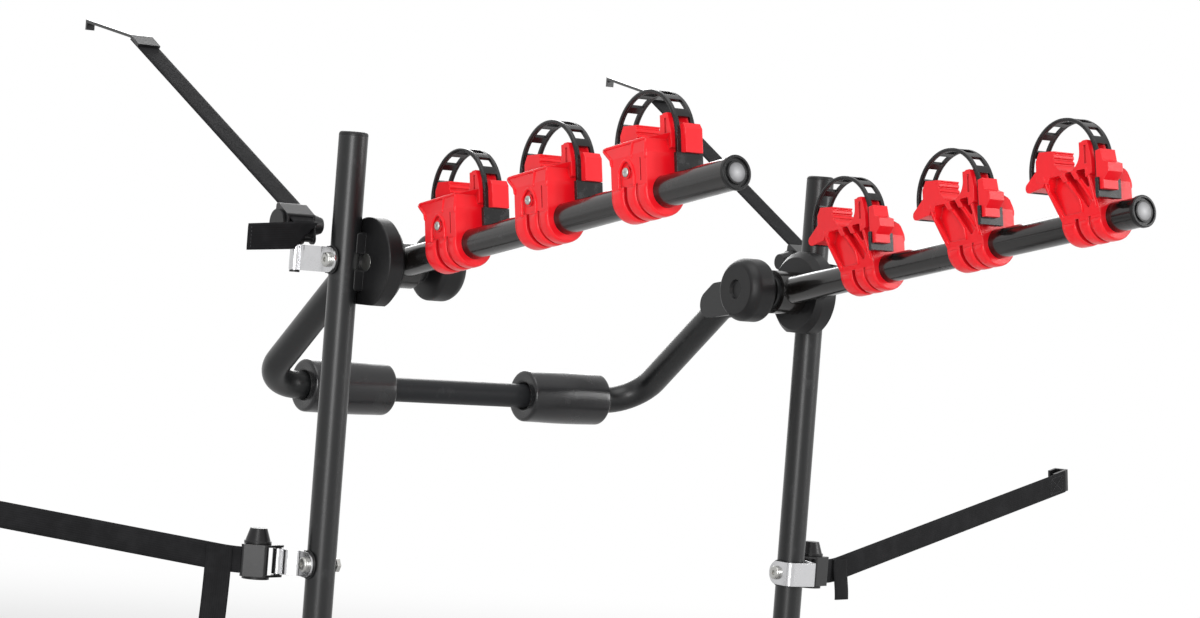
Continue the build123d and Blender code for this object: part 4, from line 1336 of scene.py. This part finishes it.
@dataclass
class Straps:
    """Four webbing straps with their tails and sewn ends."""

    shelf: FinishShelf
    width: float = 0.025
    thickness: float = 0.002
    bar_height: float = 0.51775
    bar_x: float = 0.308
    bar_y: float = 0.040
    slope: float = 27.5
    bend: Triple = (0.322, 0.364, 0.706)
    upper_ends: Pair = (-0.0215, 0.018)
    upper_corner: float = 0.02
    tail: float = 0.062
    tail_steps: int = 24
    tail_top: float = 0.001
    tail_fall: float = 0.005
    tail_spread: float = 0.004
    tail_slant: float = 1.04
    tail_curl: float = 0.0022
    tail_clear: float = 0.0005
    tail_tip: float = 0.0006
    hem: Triple = (0.006, 0.0008, 0.0165)
    hem_rows: Pair = (0.0, 0.003)
    hem_half: float = 0.0105
    side_bar: Triple = (0.311, 0.030, 0.212)
    side_ends: Pair = (-0.012, 0.024)
    side_corner: float = 0.012
    left_run: Triple = (0.250, 0.175, 0.035)
    right_run: Triple = (0.450, 0.145, 0.093)
    left_tail: float = 0.095
    right_tail: float = 0.030
    hang_place: Pair = (0.0345, 0.0022)
    hang_steps: int = 26
    hang_clear: float = 0.0006
    hang_sway: float = 0.0035
    hang_wave: float = 2.4
    hang_drift: float = 0.004
    upper_box: Triple = (0.022, 0.024, 0.018)
    side_box: Triple = (0.02, 0.026, 0.018)
    band: Band = field(default_factory=Band)
    stitching: Stitching = field(default_factory=Stitching)

    def build(self) -> None:
        """Build the straps of both sides."""
        for side in Side:
            self.build_upper(side)
        self.build_side(Side.LEFT, Vector(self.left_run), self.left_tail)
        self.build_side(Side.RIGHT, Vector(self.right_run), self.right_tail)

    def _publish(self, name: str, side: Side, parts: list[list[Station]], node: str,
                 sewn: Mesh) -> None:
        """Join the bands of a strap into one piece and add its stitches.

        Args:
            name: piece's name.
            side: side of the rack.
            parts: stations of each band, on the right-hand side.
            node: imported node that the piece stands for.
            sewn: mesh of the stitches, on the right-hand side.
        """
        whole = bmesh.new()
        for stations in parts:
            self.band.lay(whole, stations)
        for mesh in (whole, sewn):
            for vert in mesh.verts:
                vert.co.x *= side.value
        piece = publish(name, whole, self.shelf.made["webbing"], "main_frame")
        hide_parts(node)
        publish(f"{name}_stitches", sewn, self.shelf.made["thread"], "main_frame")
        log.info("strap %s", name)

    def build_upper(self, side: Side) -> None:
        """Build the strap from its tail through the upper buckle to the hook.

        Args:
            side: side of the rack.
        """
        angle = math.radians(self.slope)
        seat = BuckleSeat(Vector((self.bar_x, self.bar_y, self.bar_height)),
                          Vector((0, math.cos(angle), math.sin(angle))), Vector((1, 0, 0)))
        fold, start = (seat.at(along, seat.web_out) for along in self.upper_ends)
        bend = Vector(self.bend)
        path = smooth_path([fold, start, bend], self.upper_corner)
        upper = self.band.stations(path, Vector((1, 0, 0)), self.width / 2)
        sewn = bmesh.new()
        run = (bend - start).normalized()
        over = (Vector((1, 0, 0)) - run * run.x).normalized()
        under = run.cross(over).normalized()
        if under.z > 0:
            under = -under
        inset, long, wide = self.upper_box
        middle = bend - run * inset + under * self.thickness / 2
        self.stitching.box(sewn, middle, run, over, under, long, wide)
        inset, lift, drop = self.hem
        end = fold + Vector((self.tail - inset, -self.thickness / 2 - lift, -drop))
        for shift in self.hem_rows:
            low, high = (end + Vector((shift, 0, way * self.hem_half)) for way in (-1, 1))
            self.stitching.row(sewn, low, high, Vector((0, -1, 0)))
        name = f"{side.word}_upper_webbing"
        self._publish(name, side, [upper, self.upper_tail(fold)], f"{side.word}_upper_strap", sewn)

    def upper_tail(self, fold: Vector) -> list[Station]:
        """Loose tail that leaves the fold sideways.

        Args:
            fold: point at which the webbing turns.

        Returns:
            The tail's stations, on the right-hand side.
        """
        half = self.width / 2
        made = []
        for number in range(self.tail_steps + 1):
            x = -half + number / self.tail_steps * (self.tail + half)
            far = max(0.0, x - half) / (self.tail - half)
            high = self.tail_top - self.tail_fall * far
            low = -self.width - self.tail_spread * far
            if x < half:
                low = self.tail_top - (x + half) * self.tail_slant
            curl = -self.tail_curl * math.sin(math.pi * max(0.0, x) / self.tail) - self.tail_clear
            reach = max(self.tail_tip, (high - low) / 2)
            made.append(Station(fold + Vector((x, curl, (high + low) / 2)), Vector((0, 0, 1)), reach))
        return made

    def build_side(self, side: Side, run: Vector, tail_length: float) -> None:
        """Build the strap from the side buckle to its hook, with its tail folded down.

        Args:
            side: side of the rack.
            run: way from the buckle to the hook, as on the right-hand side.
            tail_length: length of the tail below the buckle.
        """
        level = Vector((run.x, run.y, 0))
        seat = BuckleSeat(Vector(self.side_bar), level, Vector((0, 0, -1)))
        half = self.width / 2
        first, start = (seat.at(along, seat.web_out) for along in self.side_ends)
        path = smooth_path([first, start, start + run], self.side_corner)
        main = self.band.stations(path, Vector((0, 0, -1)), half)
        along, out = self.hang_place
        hang = seat.at(along, seat.web_out + out)
        way = level.normalized()
        tail = []
        for number in range(self.hang_steps + 1):
            share = number / self.hang_steps
            drop = -half + share * (tail_length + half)
            sway = self.hang_clear + self.hang_sway * math.sin(self.hang_wave * share) * share
            middle = hang - Vector((0, 0, drop)) + seat.out * sway + way * self.hang_drift * share * share
            tail.append(Station(middle, way, half))
        sewn = bmesh.new()
        inset, long, wide = self.side_box
        middle = start + run - run.normalized() * inset + seat.out * self.thickness / 2
        self.stitching.box(sewn, middle, run.normalized(), Vector((0, 0, 1)), seat.out, long, wide)
        self._publish(f"{side.word}_side_webbing", side, [main, tail], f"{side.word}_side_strap", sewn)


@dataclass
class FoamSleeve:
    """Foam pad on a bar that runs along X, swollen in its middle and drawn in at its ends."""

    name: str
    node: str
    body: str
    middle: Vector
    length: float = 0.097
    radius: float = 0.027
    bore: float = 0.0143
    round_edge: float = 0.0035
    round_steps: int = 8
    swell: float = 0.0006
    lip: tuple[Pair, ...] = ((0.002, 0.0), (0.0004, 0.0012), (0.0, 0.003))
    smooth_face: float = 0.004
    rings: int = 40
    sides: int = 72
    dents: float = 0.0003
    dent_scale: Triple = (28.0, 31.0, 1.3)
    dent_level: float = 0.35
    fill: float = 0.95

    def profile(self) -> list[Pair]:
        """Draw half of the sleeve's section, from one end of the bore over the skin to the other.

        Returns:
            Distance along the bar and distance from its axis, for each point.
        """
        half = self.length / 2
        end = [(-half + inset, self.bore + out) for inset, out in self.lip]
        for part in range(self.round_steps + 1):
            angle = math.pi / 2 * part / self.round_steps
            end.append((-half + self.round_edge * (1 - math.cos(angle)),
                        self.radius - self.round_edge * (1 - math.sin(angle))))
        places = [-half + self.round_edge + (self.length - 2 * self.round_edge) * part / self.rings
                  for part in range(1, self.rings)]
        skin_line = [(place, self.radius + self.swell * math.cos(math.pi * place / self.length))
                     for place in places]
        return end + skin_line + [(-place, radius) for place, radius in reversed(end)]

    def build(self, material: Material) -> None:
        """Build the sleeve and let it stand for its node.

        Args:
            material: foam's finish.
        """
        along, apart, around = self.dent_scale
        mesh = bmesh.new()
        rings = []
        for place, radius in self.profile():
            ring = []
            for turn in range(self.sides):
                angle = 2 * math.pi * turn / self.sides
                way = Vector((0, math.cos(angle), math.sin(angle)))
                seed = Vector((place * along + self.middle.x * apart, way.y * around, way.z * around))
                dent = min(0.0, self.dents * (noise.noise(seed) - self.dent_level))
                out = radius + (dent if radius > self.bore + self.smooth_face else 0.0)
                ring.append(mesh.verts.new(self.middle + Vector((place, 0, 0)) + way * out))
            rings.append(ring)
        skin(mesh, rings, closed=True)
        piece = publish(self.name, mesh, material, self.body)
        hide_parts(self.node)
        log.info("foam sleeve %s", self.name)


@dataclass
class Pads:
    """Foam sleeves on the support bar and on the lower crossbar."""

    shelf: FinishShelf
    upper_x: float = 0.1335
    upper_y: float = 0.227
    upper_z: float = 0.370
    lower_x: float = 0.135

    def build(self) -> None:
        """Build all four sleeves. The lower two stand for one node."""
        foam = self.shelf.made["foam"]
        for side in Side:
            middle = Vector((side.value * self.upper_x, self.upper_y, self.upper_z))
            word = side.word
            FoamSleeve(f"{word}_window_sleeve", f"{word}_window_pad", "support_frame", middle).build(foam)
        for side in Side:
            middle = Vector((side.value * self.lower_x, 0, 0))
            FoamSleeve(f"{side.word}_lower_sleeve", "lower_pads", "main_frame", middle).build(foam)


@dataclass
class PhotoCamera:
    """Camera that stands where the photograph was taken."""

    width: int = 1200
    height: int = 618
    focal: float = 3676.0
    sensor: float = 36.0
    distance: float = 3.619
    azimuth: float = -35.0
    roll: float = 4.41
    clip: Pair = (0.05, 60.0)
    back: Triple = (-0.5735, -0.8191, 0.0147)
    target: Triple = (0.0057, -0.016, 0.4709)

    def build(self) -> None:
        """Place the camera, with its lens from the picture's width."""
        data = bpy.data.cameras.new("photo_camera")
        data.sensor_fit = "HORIZONTAL"
        data.sensor_width = self.sensor
        data.lens = self.focal * self.sensor / self.width
        data.clip_start, data.clip_end = self.clip
        camera = add_object("photo_camera", data)
        back = Vector(self.back).normalized()
        turn = math.radians(self.azimuth)
        right = Vector((math.cos(turn), math.sin(turn), 0))
        up = back.cross(right).normalized()
        roll = math.radians(self.roll)
        axis_x = right * math.cos(roll) + up * math.sin(roll)
        axis_y = up * math.cos(roll) - right * math.sin(roll)
        place = Vector(self.target) + back * self.distance
        turned = Matrix((axis_x, axis_y, back)).transposed().to_4x4()
        camera.matrix_world = Matrix.Translation(place) @ turned
        bpy.context.scene.camera = camera
        log.info("camera: lens %.1f mm for %d x %d", data.lens, self.width, self.height)


@dataclass(frozen=True)
class Lamp:
    """Soft box of a given size and power, by its place in metres."""

    name: str
    place: Triple
    width: float
    height: float
    power: float

    def build(self, aim: Vector) -> None:
        """Hang the lamp so that it looks at a point.

        Args:
            aim: point that it lights.
        """
        data = bpy.data.lights.new(self.name, "AREA")
        data.shape = "RECTANGLE"
        data.size, data.size_y = self.width, self.height
        data.energy = self.power
        lamp = add_object(self.name, data)
        lamp.location = self.place
        lamp.rotation_mode = "QUATERNION"
        lamp.rotation_quaternion = (aim - Vector(self.place)).to_track_quat("-Z", "Y")


@dataclass
class Studio:
    """White surroundings, a pale floor and four soft boxes."""

    floor_z: float = -0.0275
    floor_radius: float = 2.6
    floor_corners: int = 96
    floor_color: Color = (0.86, 0.86, 0.86)
    white: Color = (1.0, 1.0, 1.0)
    fade: Pair = (0.4, 0.92)
    ambient: float = 0.3
    aim: Triple = (0.0, 0.0, 0.42)
    lamps: tuple[Lamp, ...] = (
        Lamp("key", (-2.45, -2.7, 1.1), 1.2, 2.1, 86.0),
        Lamp("fill", (2.7, -2.1, 1.3), 0.9, 1.4, 46.0),
        Lamp("top", (-0.3, -0.5, 3.0), 2.0, 2.0, 26.0),
        Lamp("rim", (1.4, 2.6, 1.7), 1.2, 1.8, 30.0),
    )

    def build(self) -> None:
        """Build the world, the floor and the lamps."""
        self.build_world()
        self.build_floor()
        for lamp in self.lamps:
            lamp.build(Vector(self.aim))
        log.info("studio: %d lamps", len(self.lamps))

    def build_world(self) -> None:
        """Light from all round at one level, and white where the camera or a reflection looks."""
        world = bpy.data.worlds.new("studio")
        bpy.context.scene.world = world
        shader = Shader(world)
        path = shader.node("ShaderNodeLightPath")
        seen, mirrored, passed = (Level(shader, path.outputs[f"Is {ray} Ray"])
                                  for ray in ("Camera", "Glossy", "Transmission"))
        soft = shader.node("ShaderNodeBackground", None, {"Color": self.white, "Strength": self.ambient})
        white = shader.node("ShaderNodeBackground", None, {"Color": self.white, "Strength": 1.0})
        shader.close_mixed(seen.larger(mirrored).larger(passed), soft, white, "ShaderNodeOutputWorld")

    def build_floor(self) -> None:
        """Round pale floor that takes the shadow and fades into the white round it."""
        shader = Shader(bpy.data.materials.new("pale floor"))
        low, high = (self.floor_radius * share for share in self.fade)
        fade = Level(shader, shader.vector("LENGTH", shader.place()).outputs["Value"]).ramp(low, high)
        pale = shader.node("ShaderNodeBsdfDiffuse", None, {"Color": self.floor_color})
        white = shader.node("ShaderNodeEmission", None, {"Color": self.white, "Strength": 1.0})
        shader.close_mixed(fade, pale, white, "ShaderNodeOutputMaterial")
        mesh = bmesh.new()
        bmesh.ops.create_circle(mesh, cap_ends=True, segments=self.floor_corners,
                                radius=self.floor_radius)
        floor = add_mesh("floor", mesh, shader.owner)
        floor.location = (0, 0, self.floor_z)


def write_sizes() -> None:
    """Bring the view layer up to date."""
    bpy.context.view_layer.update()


def main() -> None:
    """Build camera, straps, sleeves, finishes and studio in order."""
    logging.basicConfig(level=logging.INFO, format="%(message)s")
    bpy.context.scene.view_settings.view_transform = "Standard"
    PhotoCamera().build()
    arms = Arms()
    shelf = FinishShelf(arms.tip)
    shelf.build()
    Straps(shelf).build()
    Pads(shelf).build()
    CradleScrews(shelf, arms).build()
    CradleRelief(shelf, arms).build()
    shelf.dress_solids()
    Studio().build()
    write_sizes()


if __name__ == "__main__":
    main()
